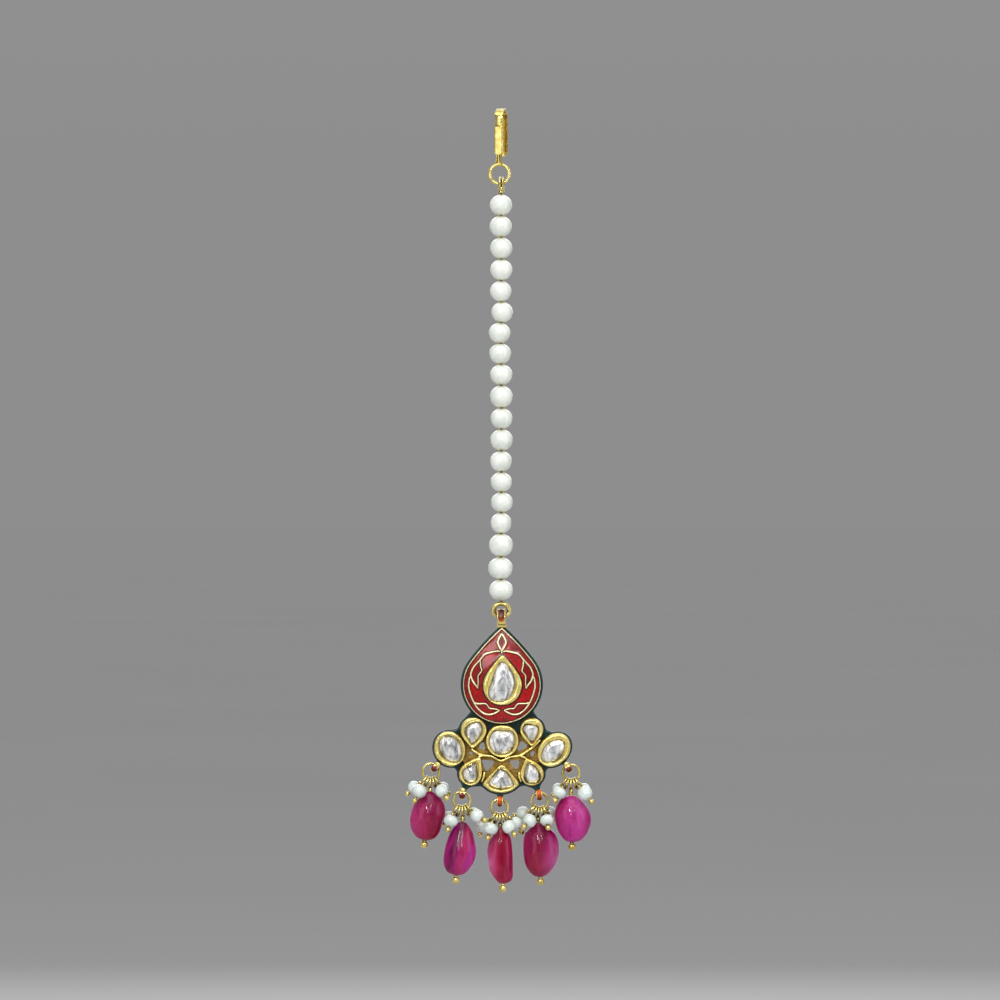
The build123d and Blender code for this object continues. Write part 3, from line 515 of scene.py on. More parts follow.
# Painted highlight: a paler copy of the gold for the thin lines and the border's bead.
PAINTED_HIGHLIGHT_GOLD = gold(
    "painted_highlight_gold", (1.0, 0.93, 0.6), (1.0, 0.88, 0.48), (0.75, 0.6, 0.4), 0.22, 0.36,
    dents=0.1, reach=0.0002,
)
PEARL = pearl_paint(
    "white_pearl", hue(236, 239, 231), hue(220, 227, 217), hue(232, 224, 176), (1.0, 0.97, 0.85)
)
SEED_PEARL = pearl_paint(
    "seed_pearl", hue(224, 233, 228), hue(196, 210, 204), hue(196, 196, 170), (0.9, 1.0, 1.0)
)
RED = enamel_paint("red_enamel", hue(118, 6, 8), hue(172, 14, 12), hue(34, 2, 3))
ORANGE = enamel_paint("orange_enamel", hue(216, 72, 6), hue(236, 100, 10), hue(84, 6, 6))
BAIL_RED = enamel_paint("deep_red_enamel", hue(40, 2, 9), hue(92, 4, 24), hue(220, 92, 6))
GREEN = enamel_paint("green_enamel", hue(4, 36, 34), hue(10, 60, 54), hue(4, 28, 30), 0.05, 0.5)
DIAMOND = diamond_paint()


# ---------------------------------------------------------------- hair hook
HOOK_TURN = math.radians(-17)
HOOK_OUT = Vector((-math.sin(HOOK_TURN), math.cos(HOOK_TURN), 0))
HOOK_WIDE = Vector((math.cos(HOOK_TURN), math.sin(HOOK_TURN), 0))
HOOK_BEND = 1.3
HOOK_THICK = 0.5
HOOK_LEG = HOOK_BEND + HOOK_THICK / 2
HOOK_FRONT_END = -7.85
HOOK_REAR_END = -8.0
HOOK_WAIST_TOP = -0.7
HOOK_WAIST_END = -2.85
HOOK_STEPS = 90
HOOK_REAR_STEPS = 39
HOOK_RING = Vector((-0.32, STRING_Y, -11.34))
HOOK_RING_RADIUS = 1.74


def rounded_strip(half_width, half_thick, crown=0.0, corner=0.12):
    """Corners of a strip's section: width, then thickness, with a slightly domed outside."""
    section = []
    for quarter, (side, level) in enumerate(((1, 1), (-1, 1), (-1, -1), (1, -1))):
        for step in range(4):
            a = math.radians(quarter * 90 + step * 30)
            section.append((
                side * (half_width - corner) + math.cos(a) * corner,
                level * (half_thick - corner) + math.sin(a) * corner,
            ))
        if quarter == 0:
            section.extend(
                (half_width * k, half_thick + crown * (1 - k * k)) for k in (0.5, 0.0, -0.5)
            )
    return section


def hook_profile(height, rear):
    """Half width, half thickness and crown of the strip at a height."""
    if rear:
        return 0.74, 0.2, 0.0
    if height > HOOK_WAIST_TOP:
        groove = peak(height, -0.15, 0.08)
        return 0.82 - 0.04 * groove, 0.24 - 0.07 * groove, 0.01
    if height > HOOK_WAIST_END:
        ledge = min(peak(height, -0.75, 0.12) + peak(height, HOOK_WAIST_END, 0.12), 1)
        return 0.7 + 0.1 * ledge, 0.14 + 0.11 * ledge, 0.2 * (1 - ledge)
    return 0.8, 0.25, 0.02


def hook_stations():
    """Centre, outward way and height of each section, and whether it is the plain rear leg's."""
    stations = []
    for k in range(HOOK_STEPS + 1):
        height = HOOK_FRONT_END + (-HOOK_BEND - HOOK_FRONT_END) * k / HOOK_STEPS
        stations.append((-HOOK_OUT * HOOK_LEG + UP * height, -HOOK_OUT, height, False))
    for k in range(1, HOOK_STEPS):
        way = swing(-HOOK_OUT, UP, math.pi * k / HOOK_STEPS)
        centre = way * HOOK_LEG - UP * HOOK_BEND
        stations.append((centre, way, centre.z, k > 50))
    for k in range(HOOK_REAR_STEPS + 1):
        height = -HOOK_BEND + (HOOK_REAR_END + HOOK_BEND) * k / HOOK_REAR_STEPS
        stations.append((HOOK_OUT * HOOK_LEG + UP * height, HOOK_OUT, height, True))
    return stations


NECK_TOP = HOOK_FRONT_END + 0.2
NECK_LENGTH = 2.02

# Half of the neck's section: share of its half width, and its depth, with a flute.
FLUTE = ((1.0, -0.2), (1.0, 0.16), (0.9, 0.23), (0.76, 0.2), (0.5, 0.04), (0.26, 0.16), (0.1, 0.25))
FLUTED_SECTION = FLUTE + tuple((-across, level) for across, level in FLUTE[::-1])


def add_hook_strip(shape):
    """Strip bent over, with rounded ends; its tones paint shade along the waist's grooves and amber
    shade and reflection on the rear leg.
    """
    stations = hook_stations()
    rows = []
    tones = []
    for index, (centre, outward, height, rear) in enumerate(stations):
        half_width, half_thick, crown = hook_profile(height, rear)
        to_end = len(stations) - 1 - index
        if to_end < 6:
            half_width *= math.sqrt(1 - (1 - (to_end + 0.5) / 6.5) ** 2)
        if index < 3:
            half_width *= 0.72 + 0.09 * index
        rows.append([
            centre + HOOK_WIDE * across + outward * level
            for across, level in rounded_strip(half_width, half_thick, crown, 0.1)
        ])
        # Painted shade: darker bands along the waist's two grooves; the rear leg takes painted amber
        # shade and reflection.
        painted_groove_shade = peak(height, -0.92, 0.1) + peak(height, -2.7, 0.13)
        tones.append(0.8 if rear and height < -0.4 and to_end > 4 else 0.0 if rear else painted_groove_shade)
    shape.skin(rows, tones=tones)


def make_hook():
    """Hook strip, its fluted neck and the ring below it."""
    shape = Shape()
    add_hook_strip(shape)
    neck = []
    for t in shares(16):
        height = NECK_TOP - NECK_LENGTH * t
        half_width = 0.38 + 0.14 * (1 - t) ** 3 + 0.43 * t**3.2
        centre = -HOOK_OUT * HOOK_LEG + UP * height
        centre.x += HOOK_RING.x * 0.15 * t
        neck.append([
            centre + HOOK_WIDE * across * half_width - HOOK_OUT * level
            for across, level in FLUTED_SECTION
        ])
    shape.skin(neck)
    steps = 72
    loop = circle(HOOK_RING, RIGHT, UP, HOOK_RING_RADIUS, steps)
    reach = [0.27 + 0.05 * abs(math.cos(TURN * k / steps)) for k in range(steps)]
    tube(shape, loop, reach, 14, closed=True, up=FRONT)
    place(shape.build("hook_metal", PAINTED_SHADE_WIRE_GOLD, 50), "string", "gold", "hair_hook")


# ---------------------------------------------------------------- string
TOP_LOOP = Vector((0, STRING_Y, -12.85))
END_LOOP = Vector((0, STRING_Y, -89.95))
THREAD_RADIUS = 0.2
END_WIRE = 0.41
STRAND_WIRE = 0.19
STRAND_LOOP = 0.85
KNOT = TOP_LOOP - UP * 0.68


def add_end_loop(shape):
    """Thick loop round the bail, a little more than one turn, drifting through its depth."""
    first, turned = math.radians(62), math.radians(416)
    path = []
    for t in shares(72):
        a = first - turned * t
        x = math.cos(a) * 1.43
        z = math.sin(a) * (1.3 if math.sin(a) > 0 else 1.05)
        path.append(END_LOOP + RIGHT * x + UP * z + DEEP * 0.2 * (0.5 - t))
    wire(shape, path, END_WIRE, 16)


def make_string_wire():
    """Double loop and knot on the hook's ring, the thread, and the end loop."""
    shape = Shape()
    start = (-UP + DEEP * 0.1).normalized()
    for strand, lean in ((-0.23, 0.06), (0.23, -0.05)):
        across = (DEEP + RIGHT * lean).normalized()
        centre = TOP_LOOP + RIGHT * strand
        loop = circle(centre, start, across, STRAND_LOOP, 48, 0.1, TURN * 0.97)
        wire(shape, loop, STRAND_WIRE, 10)
    wire(shape, helix(KNOT, -UP, radius=0.42, pitch=0.4, turns=3.1, start=0.5), 0.17, 10)
    tube(shape, [KNOT + UP * 0.1, END_LOOP + UP * 1.05], THREAD_RADIUS, 16)
    add_end_loop(shape)
    place(shape.build("string_metal", PAINTED_SHADE_WIRE_GOLD), "string", "gold", "string_wire")


def blunt(share):
    """Slightly flattened ends: where a pearl has been worn against its neighbours."""
    return math.copysign(abs(share) ** 0.93, share)


def pearl_form(shape, centre, axis, width, height, hole, seed, ripple=0.012):
    """Drilled pearl: nearly round, with gentle ripples and a rounded hole's edge."""
    rows = 26
    first = math.asin(min(hole / (width / 2) * 1.25, 0.9))
    end = blunt(math.cos(first)) * height / 2
    profile = [(-end + 0.12, hole)]
    tones = [1.0]
    for k in range(rows):
        a = first + (math.pi - 2 * first) * k / (rows - 1)
        profile.append((-height / 2 * blunt(math.cos(a)), width / 2 * math.sin(a)))
        near = min(a, math.pi - a)
        tones.append(max(0.0, 1 - (near - first) / 0.45) ** 1.5)
    profile.append((end - 0.12, hole))
    tones.append(1.0)
    shift = Vector((seed * 7.31, seed * 3.17, seed * 5.77))

    def wobble(point):
        away = point - centre
        amount = noise.noise(away * 0.55 + shift) + 0.4 * noise.noise(away * 1.6 + shift)
        return centre + away * (1 - ripple + ripple * amount)

    lathe(shape, centre, axis, profile, 44, True, tones, wobble)


def make_pearls():
    """The string's nineteen pearls, each as large as its solid."""
    for number in range(1, 20):
        node = f"pearl_{number:02d}"
        low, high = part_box(node)
        centre = (low + high) / (2 * MM)
        size = (high - low) / MM
        shape = Shape()
        pearl_form(shape, centre, UP, size.x, size.z + 0.05, 0.3, number)
        place(shape.build(node + "_nacre", PEARL), "string", "pearl", node)


# ---------------------------------------------------------------- enamelled plaque
PLAQUE = Vector((0.1, 0, -103.23))
PLAQUE_RADIUS = 6.98
PLAQUE_REACH = 10.28
SIDE_BOW = 6.0
BORDER_WIDTH = 0.25
DOME_RADIUS = 49.0
DOME_DEPTH = 2.1


def around(x, z, radius, angle):
    """Place at an angle round a centre."""
    return Vector((x + radius * math.cos(angle), 0, z + radius * math.sin(angle)))


def drop_outline(radius, reach, grow, arc_steps=60, round_steps=120):
    """Teardrop round the origin, clockwise from its tip, as points in the XZ plane."""
    bow = SIDE_BOW * radius
    pull = bow - radius
    lean = math.asin((bow**2 - pull**2 - reach**2) / (2 * reach * pull))
    side_x = pull * math.cos(lean)
    side_z = -pull * math.sin(lean)
    tip = math.atan2(math.sqrt((bow + grow) ** 2 - side_x**2), side_x)
    line = []
    for k in range(arc_steps):
        line.append(around(-side_x, side_z, bow + grow, tip + (lean - tip) * k / arc_steps))
    for k in range(round_steps + 1):
        line.append(around(0, 0, radius + grow, lean - (math.pi + 2 * lean) * k / round_steps))
    for point in line[arc_steps - 1:0:-1]:
        line.append(Vector((-point.x, 0, point.z)))
    return line


def dome(x, z):
    """Depth of the enamel's dome over a place of the plaque."""
    away = (x - PLAQUE.x) ** 2 + (z - PLAQUE.z) ** 2
    return DOME_DEPTH - DOME_RADIUS + math.sqrt(DOME_RADIUS**2 - away)


def on_plaque(p, depth=None):
    """Point given from the plaque's centre, on its dome unless a depth is given."""
    x, z = PLAQUE.x + p.x, PLAQUE.z + p.z
    return flat(x, z, dome(x, z) if depth is None else depth)


def dome_normal(point):
    """Outward direction of the dome."""
    return Vector((point.x - PLAQUE.x, -DOME_RADIUS, point.z - PLAQUE.z)).normalized()


# Gold lines of the left half: corners of each line, from the centre of the round end.
UPPER_LEAF = (
    (-0.3, 5.98), (-0.85, 6.05), (-2.11, 5.8), (-3.11, 5.42), (-4.0, 4.41), (-5.02, 3.28),
    (-5.45, 2.39), (-5.58, 1.76), (-5.27, 0.74), (-4.75, 0.0), (-4.32, -0.65),
)
UPPER_VEIN = (
    (-3.87, 4.4), (-3.82, 3.28), (-3.62, 2.52), (-4.25, 1.64), (-4.25, 0.63), (-4.32, -0.65),
)
LOWER_LEAF = (
    (-5.6, 1.5), (-5.83, 1.1), (-5.96, -0.27), (-5.65, -1.66), (-5.08, -3.04), (-4.25, -4.3),
    (-3.11, -5.18), (-1.98, -5.31), (-0.97, -4.93), (-0.4, -4.55),
)
LOWER_VEIN = (
    (-5.02, -3.17), (-4.25, -3.37), (-2.86, -3.42), (-2.23, -4.18), (-1.35, -4.3), (-0.4, -4.55),
)
BUD = ((0.0, 9.2), (-0.45, 8.45), (-0.73, 7.6), (-0.42, 6.8), (0.0, 6.1))


def plaque_line(corners, mirror, steps=8):
    """Smooth line in place on the dome."""
    line = blend_curve(upright([(x * mirror, z) for x, z in corners]), steps, closed=False)
    return [on_plaque(p) for p in line]


def line_paths():
    """Every gold line with its half width."""
    paths = []
    for mirror in (1, -1):
        paths.append((plaque_line(UPPER_LEAF, mirror), 0.15))
        paths.append((plaque_line(UPPER_VEIN, mirror, 4), 0.1))
        paths.append((plaque_line(LOWER_LEAF, mirror), 0.15))
        paths.append((plaque_line(LOWER_VEIN, mirror, 4), 0.11))
        paths.append((plaque_line(BUD, mirror), 0.165))
    paths.append((plaque_line(((0.0, 6.3), (0.0, 6.0), (0.0, 5.6)), 1), 0.11))
    return paths


def make_line_work():
    """Gold wires laid in the enamel, each a little thinner towards its ends."""
    shape = Shape()
    for path, half_width in line_paths():
        count = len(path)
        reach = []
        for k in range(count):
            t = min(k, count - 1 - k) / (count - 1)
            hand = 1 + 0.12 * noise.noise(path[k] * 0.9)
            reach.append(half_width * hand * (0.55 + 0.45 * min(1.0, t * 7)))
        tube(shape, path, reach, 12, up=dome_normal, squash=0.85)
    place(shape.build("gold_lines", PAINTED_HIGHLIGHT_GOLD, 60), "pendant", "gold")


def inside(x, z, corners):
    """Whether a place lies in a polygon."""
    found = False
    for (ax, az), (bx, bz) in zip(corners, corners[1:] + corners[:1]):
        if (az > z) != (bz > z) and x < (bx - ax) * (z - az) / (bz - az) + ax:
            found = not found
    return found


def leaf_side(corners):
    """Places along the outer side of a leaf."""
    return [(p.x, p.z) for p in blend_curve(upright(corners), 4, False)]


def leaf_patches():
    """Leaves and bud that carry the darker enamel, as polygons on the left half."""
    upper = leaf_side(UPPER_LEAF[4:]) + list(UPPER_VEIN[::-1])
    lower = leaf_side(LOWER_LEAF[4:]) + list(LOWER_VEIN[::-1])
    bud = list(BUD) + [(-x, z) for x, z in BUD[::-1]]
    return [upper, lower, bud]


def middle_field():
    """Left half of the field inside the two leaves, closed on the plaque's middle line."""
    line = [(0.0, 6.0)] + list(UPPER_LEAF[:7]) + list(LOWER_LEAF)
    return line + [(0.3, -4.55), (0.3, 6.0)]


def nearest_line():
    """Tree that finds the distance to the gold lines."""
    samples = [point for path, _ in line_paths() for point in path]
    tree = kdtree.KDTree(len(samples))
    for index, point in enumerate(samples):
        tree.insert(point, index)
    tree.balance()
    return tree


def make_plaque_enamel(collar_line):
    """Red enamel between the main collar and the border, dished between the gold lines."""
    outer = drop_outline(PLAQUE_RADIUS, PLAQUE_REACH, -BORDER_WIDTH + 0.05, 110, 220)
    inner = resample(collar_line, outer)
    tree = nearest_line()
    leaves = leaf_patches()
    middle = middle_field()
    rows = []
    tones = []
    for t in shares(60):
        row = []
        row_tones = []
        for near, far in zip(inner, outer):
            spot = near.lerp(far, t)
            x, z = PLAQUE.x + spot.x, PLAQUE.z + spot.z
            depth = dome(x, z)
            distance = tree.find(flat(x, z, depth))[2]
            wall = min(t, 1 - t) * (far - near).length
            lift = math.exp(-min(distance, wall + 0.05) / 0.16)
            row.append(flat(x, z, depth + (0.07 * lift - 0.06)))
            side = (-abs(spot.x), spot.z)
            leaf = any(inside(*side, patch) for patch in leaves)
            field = 0.34 if leaf else 0.0 if inside(*side, middle) else 0.2
            # Painted shade: the enamel darkens beside the gold lines and the walls.
            edge = math.exp(-((min(distance, wall + 0.1) / 0.31) ** 4))
            row_tones.append(max(field, edge))
        rows.append(row)
        tones.append(row_tones)
    for line in (outer, inner):
        rows.append([on_plaque(p, FLOOR_DEPTH) for p in line])
        tones.append(0.0)
    shape = Shape()
    shape.skin(rows, True, tones)
    place(shape.build("enamel_field", RED, 60), "pendant", "red_enamel", "plaque_enamel")


def resample(line, guide):
    """The line's points in the directions of the guide's points, both round the origin."""
    polar = sorted((math.atan2(p.z, p.x), p.xz.length) for p in line)
    polar = [(polar[-1][0] - TURN, polar[-1][1])] + polar + [(polar[0][0] + TURN, polar[0][1])]
    found = []
    for target in guide:
        a = math.atan2(target.z, target.x)
        for (low, first), (high, second) in zip(polar, polar[1:]):
            if low <= a <= high:
                t = (a - low) / max(high - low, 1e-9)
                reach = first + (second - first) * t
                break
        found.append(Vector((math.cos(a) * reach, 0, math.sin(a) * reach)))
    return found


# Sections of the wall round the plaque, by how far each corner lies outside its outline and
# its depth: the wall, and the bead on top of it, whose paler gold paints its highlight.
BORDER_WALL = ((0.0, PLATE_DEPTH), (0.0, 1.34), (-0.25, 1.34), (-0.25, PLATE_DEPTH))
BORDER_BEAD = (
    (0.0, 1.3), (0.0, 1.37), (-0.03, 1.47), (-0.09, 1.53), (-0.17, 1.53), (-0.22, 1.46),
    (-0.25, 1.36), (-0.25, 1.3),
)


def make_border():
    """Gold wall round the plaque with a rounded bead in paler gold, a painted highlight."""
    for name, section, material in (
        ("border_wall", BORDER_WALL, GOLD), ("gold_border", BORDER_BEAD, PAINTED_HIGHLIGHT_GOLD)
    ):
        rows = []
        for grow, depth in section:
            row = []
            for p in drop_outline(PLAQUE_RADIUS, PLAQUE_REACH, grow - 0.01):
                x, z = PLAQUE.x + p.x, PLAQUE.z + p.z
                lower = 0.25 * max(0.0, (p.z - 2) / 8) if depth > 1 else 0.0
                hand = 0.03 * noise.noise(Vector((x, 3.3, z)) * 0.5) if depth > 1 else 0.0
                row.append(flat(x, z, depth - lower + hand))
            rows.append(row)
        shape = Shape()
        shape.skin(rows, True)
        place(shape.build(name, material, 70), "pendant", "gold")


# ---------------------------------------------------------------- stone settings
# Openings are the visible outlines of the stones, from the setting's centre.
Setting = namedtuple("Setting", "name shape x z size reach turn opening")
SETTINGS = (
    Setting("main_stone", "drop", 0.2, -103.34, 3.63, 5.78, 0, (
        (-0.05, 4.17), (0.68, 3.8), (1.64, 2.48), (2.19, 0.79), (2.0, -0.66), (1.28, -1.98),
        (0.19, -2.75), (-1.25, -2.83), (-2.22, -2.22), (-2.39, -0.9), (-1.86, 0.55),
        (-1.37, 2.24), (-0.77, 3.68))),
    Setting("centre_stone", "round", 0.18, -113.35, 3.0, 3.0, 0, (
        (-1.45, 1.65), (-0.7, 1.8), (0.3, 1.66), (1.45, 1.8), (2.05, 1.1), (2.2, 0.03),
        (1.85, -1.2), (1.05, -2.05), (-0.19, -2.3), (-1.29, -1.95), (-2.1, -0.94),
        (-2.2, 0.3))),
    Setting("upper_left_stone", "drop", -4.95, -111.46, 2.4, 3.4, 176, (
        (0.11, 1.44), (0.94, 1.31), (1.42, 0.34), (1.21, -0.62), (0.66, -1.45), (-0.1, -2.3),
        (-0.5, -2.2), (-0.8, -1.6), (-1.33, -0.76), (-1.4, 0.21), (-0.71, 1.03))),
    Setting("upper_right_stone", "drop", 5.47, -111.35, 2.14, 3.08, 180, (
        (-1.08, 0.85), (0.02, 0.85), (0.95, 0.6), (1.12, -0.18), (0.85, -1.14), (0.25, -2.1),
        (-0.1, -2.15), (-0.67, -1.35), (-1.4, -0.18), (-1.5, 0.25))),
    Setting("left_stone", "oval", -9.25, -114.8, 2.8, 3.15, 20, (
        (-1.57, 1.75), (-0.24, 2.25), (0.96, 1.8), (1.81, 0.76), (2.1, -0.81), (1.75, -1.95),
        (0.96, -2.25), (-0.24, -2.01), (-1.33, -0.93), (-1.81, 0.52))),
    Setting("right_stone", "oval", 9.47, -114.98, 2.64, 3.33, -45, (
        (1.29, 1.7), (1.82, 1.1), (1.65, -0.1), (0.93, -1.31), (-0.16, -2.03), (-1.5, -2.1),
        (-2.15, -1.43), (-1.97, -0.22), (-1.12, 0.98), (0.08, 1.63))),
    Setting("lower_left_stone", "drop", -5.55, -119.28, 2.1, 3.67, -31, (
        (0.55, 1.75), (0.9, 1.7), (0.99, 0.73), (1.12, -0.24), (0.92, -1.06), (0.16, -1.5),
        (-0.67, -1.3), (-1.22, -0.51), (-1.3, 0.45), (-0.67, 1.1))),
    Setting("lower_right_stone", "drop", 5.51, -119.25, 2.16, 3.1, 21, (
        (-0.8, 1.65), (-0.29, 1.75), (0.67, 1.05), (1.3, -0.13), (1.4, -0.96), (0.95, -1.5),
        (-0.15, -1.6), (-0.98, -1.3), (-1.25, -0.41), (-1.05, 0.83))),
    Setting("fan_stone", "fan", -0.02, -120.6, 0, 0, 0, (
        (0.03, 2.1), (0.65, 1.8), (1.41, 0.95), (2.05, -0.29), (2.1, -0.75), (1.41, -1.05),
        (0.03, -1.28), (-1.34, -1.0), (-2.05, -0.6), (-2.1, -0.1), (-1.07, 1.25),
        (-0.5, 1.95))),
)
FAN_CORNERS = (
    (0.18, -117.2), (3.45, -121.05), (1.9, -122.3), (0.0, -122.78), (-1.9, -122.35),
    (-3.6, -121.05),
)


def setting_outline(setting):
    """Outer outline of a collar round its own centre."""
    if setting.shape == "fan":
        corners = upright([(x - setting.x, z - setting.z) for x, z in FAN_CORNERS])
        line = []
        for a, b in zip(corners, corners[1:] + corners[:1]):
            line.extend(a.lerp(b, k / 20) for k in range(20))
        return soften(line, 14)
    if setting.shape == "drop":
        line = soften(drop_outline(setting.size, setting.reach, 0.0, 30, 60), 10)
    else:
        line = [
            Vector((math.sin(a) * setting.size, 0, math.cos(a) * setting.reach))
            for a in (TURN * k / 120 for k in range(120))
        ]
    turn = math.radians(setting.turn)
    return [
        Vector((p.x * math.cos(turn) - p.z * math.sin(turn), 0,
                p.x * math.sin(turn) + p.z * math.cos(turn)))
        for p in line
    ]


def on_setting(setting, p, depth):
    """Point given from a setting's centre."""
    return flat(setting.x + p.x, setting.z + p.z, depth)


def opening_line(setting):
    """Visible outline of a setting's stone."""
    return blend_curve(upright(setting.opening), 8)


def polar_line(line, count=144):
    """A line round the origin at even angles."""
    guide = [around(0, 0, 1, TURN * k / count) for k in range(count)]
    return resample(line, guide)


# Collar sections: share of the way from the outer wall to the stone, and rise from the
# base to the crest.  The main stone's collar is fuller.
COLLAR_SECTION = (
    (0.0, 0.0), (0.0, 0.5), (0.03, 0.74), (0.12, 0.91), (0.25, 0.99), (0.38, 1.0),
    (0.52, 0.94), (0.66, 0.82), (0.8, 0.69), (0.92, 0.6), (1.0, 0.53), (1.0, 0.3), (0.96, 0.0),
)
MAIN_COLLAR_SECTION = (
    (0.0, 0.0), (0.0, 0.55), (0.03, 0.78), (0.1, 0.92), (0.22, 0.98), (0.4, 1.0), (0.6, 0.98),
    (0.78, 0.93), (0.9, 0.86), (0.97, 0.79), (1.0, 0.7), (1.0, 0.3), (0.96, 0.0),
)
CREST = 1.35
MAIN_CREST = 2.55


def make_collar(setting, section, crest):
    """Soft gold wall burnished over the edge of a stone."""
    outer = polar_line(setting_outline(setting))
    inner = polar_line(opening_line(setting))
    rows = []
    for share, rise in section:
        row = []
        for far, near in zip(outer, inner):
            spot = far.lerp(near, share)
            x, z = setting.x + spot.x, setting.z + spot.z
            hand = noise.noise(Vector((x, setting.x, z)) * 0.8)
            fine = noise.noise(Vector((x, 9.1, z)) * 2.2)
            top = crest + 0.09 * hand + 0.035 * fine
            spot = spot * (1 + 0.02 * hand * math.sin(math.pi * min(share, 1)))
            row.append(on_setting(setting, spot, PLATE_DEPTH + (top - PLATE_DEPTH) * rise))
        rows.append(row)
    shape = Shape()
    shape.skin(rows, True)
    name = setting.name.replace("stone", "collar")
    place(shape.build(name, GOLD, 60), "pendant", "gold")


def facet_faces(corners):
    """Faces that join the foot, the girdle, the middle ring and the table of a stone."""
    girdle, middle = 2 * corners, 4 * corners
    table = middle + corners
    faces = []
    for k in range(girdle):
        after = (k + 1) % girdle
        faces.append((k, after, girdle + after, girdle + k))
    for k in range(corners):
        after = (k + 1) % corners
        here, half, there = girdle + 2 * k, girdle + 2 * k + 1, girdle + 2 * after
        a, b, c, d = middle + k, middle + after, table + after, table + k
        faces.extend([(here, half, a), (half, b, a), (half, there, b)])
        faces.extend([(a, b, c), (a, c, d)] if k % 2 else [(a, b, d), (b, c, d)])
    return faces + [tuple(range(girdle))[::-1], tuple(range(table, table + corners))]


def make_polki(setting, corners, low, top, seed):
    """Flat uncut-style diamond: uneven facets from the girdle up to a tilted table."""
    rng = random.Random(seed)
    rim = polar_line(opening_line(setting))
    count = len(rim)
    cuts = [int((k + rng.uniform(-0.25, 0.25)) * count / corners) % count for k in range(corners)]
    lean = Vector((rng.uniform(-0.2, 0.2), 0, rng.uniform(-0.2, 0.2)))
    edge = []
    for here, after in zip(cuts, cuts[1:] + cuts[:1]):
        half = (here + ((after - here) % count) // 2) % count
        edge.extend((rim[here], rim[half]))

    def level(spots, scale, depth, uneven):
        row = []
        for p in spots:
            spot = p * (scale + rng.uniform(-uneven, uneven))
            tilt = (spot.x * lean.x + spot.z * lean.z) * 0.25
            height = depth + tilt + rng.uniform(-uneven, uneven) * 0.35
            row.append(on_setting(setting, spot, height))
        return row

    shape = Shape()
    shape.points = [flat(setting.x + p.x * 1.1, setting.z + p.z * 1.1, low) for p in edge]
    shape.points += level(edge, 1.04, top - 0.5, 0.0)
    shape.points += level(edge[::2], 0.76, top - 0.14, 0.07)
    shape.points += level(edge[::2], 0.44, top, 0.1)
    shape.tones = [0.0] * len(shape.points)
    shape.faces = facet_faces(corners)
    piece = shape.build(setting.name + "_polki", DIAMOND, 4)
    wear(piece, 0.035, 6)
    place(piece, "pendant", "diamond", setting.name)


# ---------------------------------------------------------------- plate and ridges
RIDGE_DEPTH = 0.62
RIDGE_RADIUS = 0.26
RIDGES = (
    ((-5.4, -114.8), (-4.4, -115.5), (-3.4, -115.95), (-1.7, -116.12), (-0.05, -116.9),
     (1.5, -116.25), (3.2, -116.0), (4.4, -115.35), (5.4, -114.65), (7.0, -113.2)),
    ((-4.3, -116.45), (-3.9, -116.15), (-3.4, -115.95)),
    ((3.3, -115.95), (3.9, -116.2), (4.6, -116.58)),
    ((-3.05, -118.95), (-3.2, -119.8), (-3.5, -120.7)),
    ((3.2, -118.9), (3.3, -119.75), (3.55, -120.65)),
)
INFILL = (
    (-3.4, -112.2), (3.6, -112.2), (6.8, -113.2), (6.9, -117.1),
    (3.2, -120.5), (-3.2, -120.5), (-6.9, -117.0), (-6.8, -113.2),
)
OPENINGS = (
    ((-3.19, -113.33), (-4.19, -114.43), (-2.77, -115.16)),
    ((3.55, -113.24), (4.84, -114.25), (2.72, -115.34)),
    ((-5.85, -115.07), (-4.84, -115.63), (-5.76, -115.9)),
    ((5.94, -114.89), (4.93, -115.9), (5.94, -116.08)),
    ((-3.65, -116.64), (-1.08, -117.0), (-2.65, -119.02)),
    ((1.26, -116.91), (3.46, -116.82), (2.72, -118.66)),
)
WEB = 0.05


def prism(line, low=PLATE_DEPTH, high=FLOOR_DEPTH):
    """Straight-sided body over an outline of places, as a mesh object for cutting."""
    shape = Shape()
    shape.skin([[flat(x, z, low) for x, z in line], [flat(x, z, high) for x, z in line]])
    return shape.build("cutter", GOLD)


def combine(base, other, operation):
    """Apply one boolean to the base and delete the other body."""
    step = base.modifiers.new("cut", "BOOLEAN")
    step.operation = operation
    step.solver = "EXACT"
    step.object = other
    apply_all(base)
    bpy.data.objects.remove(other)


def apply_all(piece):
    """Replace a piece's mesh with what its modifiers make of it."""
    bpy.context.view_layer.update()
    graph = bpy.context.evaluated_depsgraph_get()
    mesh = bpy.data.meshes.new_from_object(piece.evaluated_get(graph))
    piece.modifiers.clear()
    piece.data = mesh


def make_plate():
    """Gold plate under the settings, with its openings."""
    plaque = drop_outline(PLAQUE_RADIUS, PLAQUE_REACH, -0.02, 20, 60)
    outlines = []
    for setting in SETTINGS[1:]:
        line = polar_line(setting_outline(setting), 60)
        outlines.append([
            (setting.x + p.x * (1 + WEB / p.length), setting.z + p.z * (1 + WEB / p.length))
            for p in line
        ])
    outlines.append([(PLAQUE.x + p.x, PLAQUE.z + p.z) for p in plaque])
    outlines.append(INFILL)
    plate, *others = [prism(outline) for outline in outlines]
    for other in others:
        combine(plate, other, "UNION")
    for corners in OPENINGS:
        combine(plate, prism(corners, PLATE_DEPTH - 1, FLOOR_DEPTH + 1), "DIFFERENCE")
    mesh = plate.data
    bpy.data.objects.remove(plate)
    # The plate takes the darkened gold: painted shade deep among the collars.
    piece = dress("gold_plate", mesh, PAINTED_SHADE_PLATE_GOLD, 30)
    wear(piece, 0.06, 50)
    place(piece, "pendant", "gold", "pendant_frame")


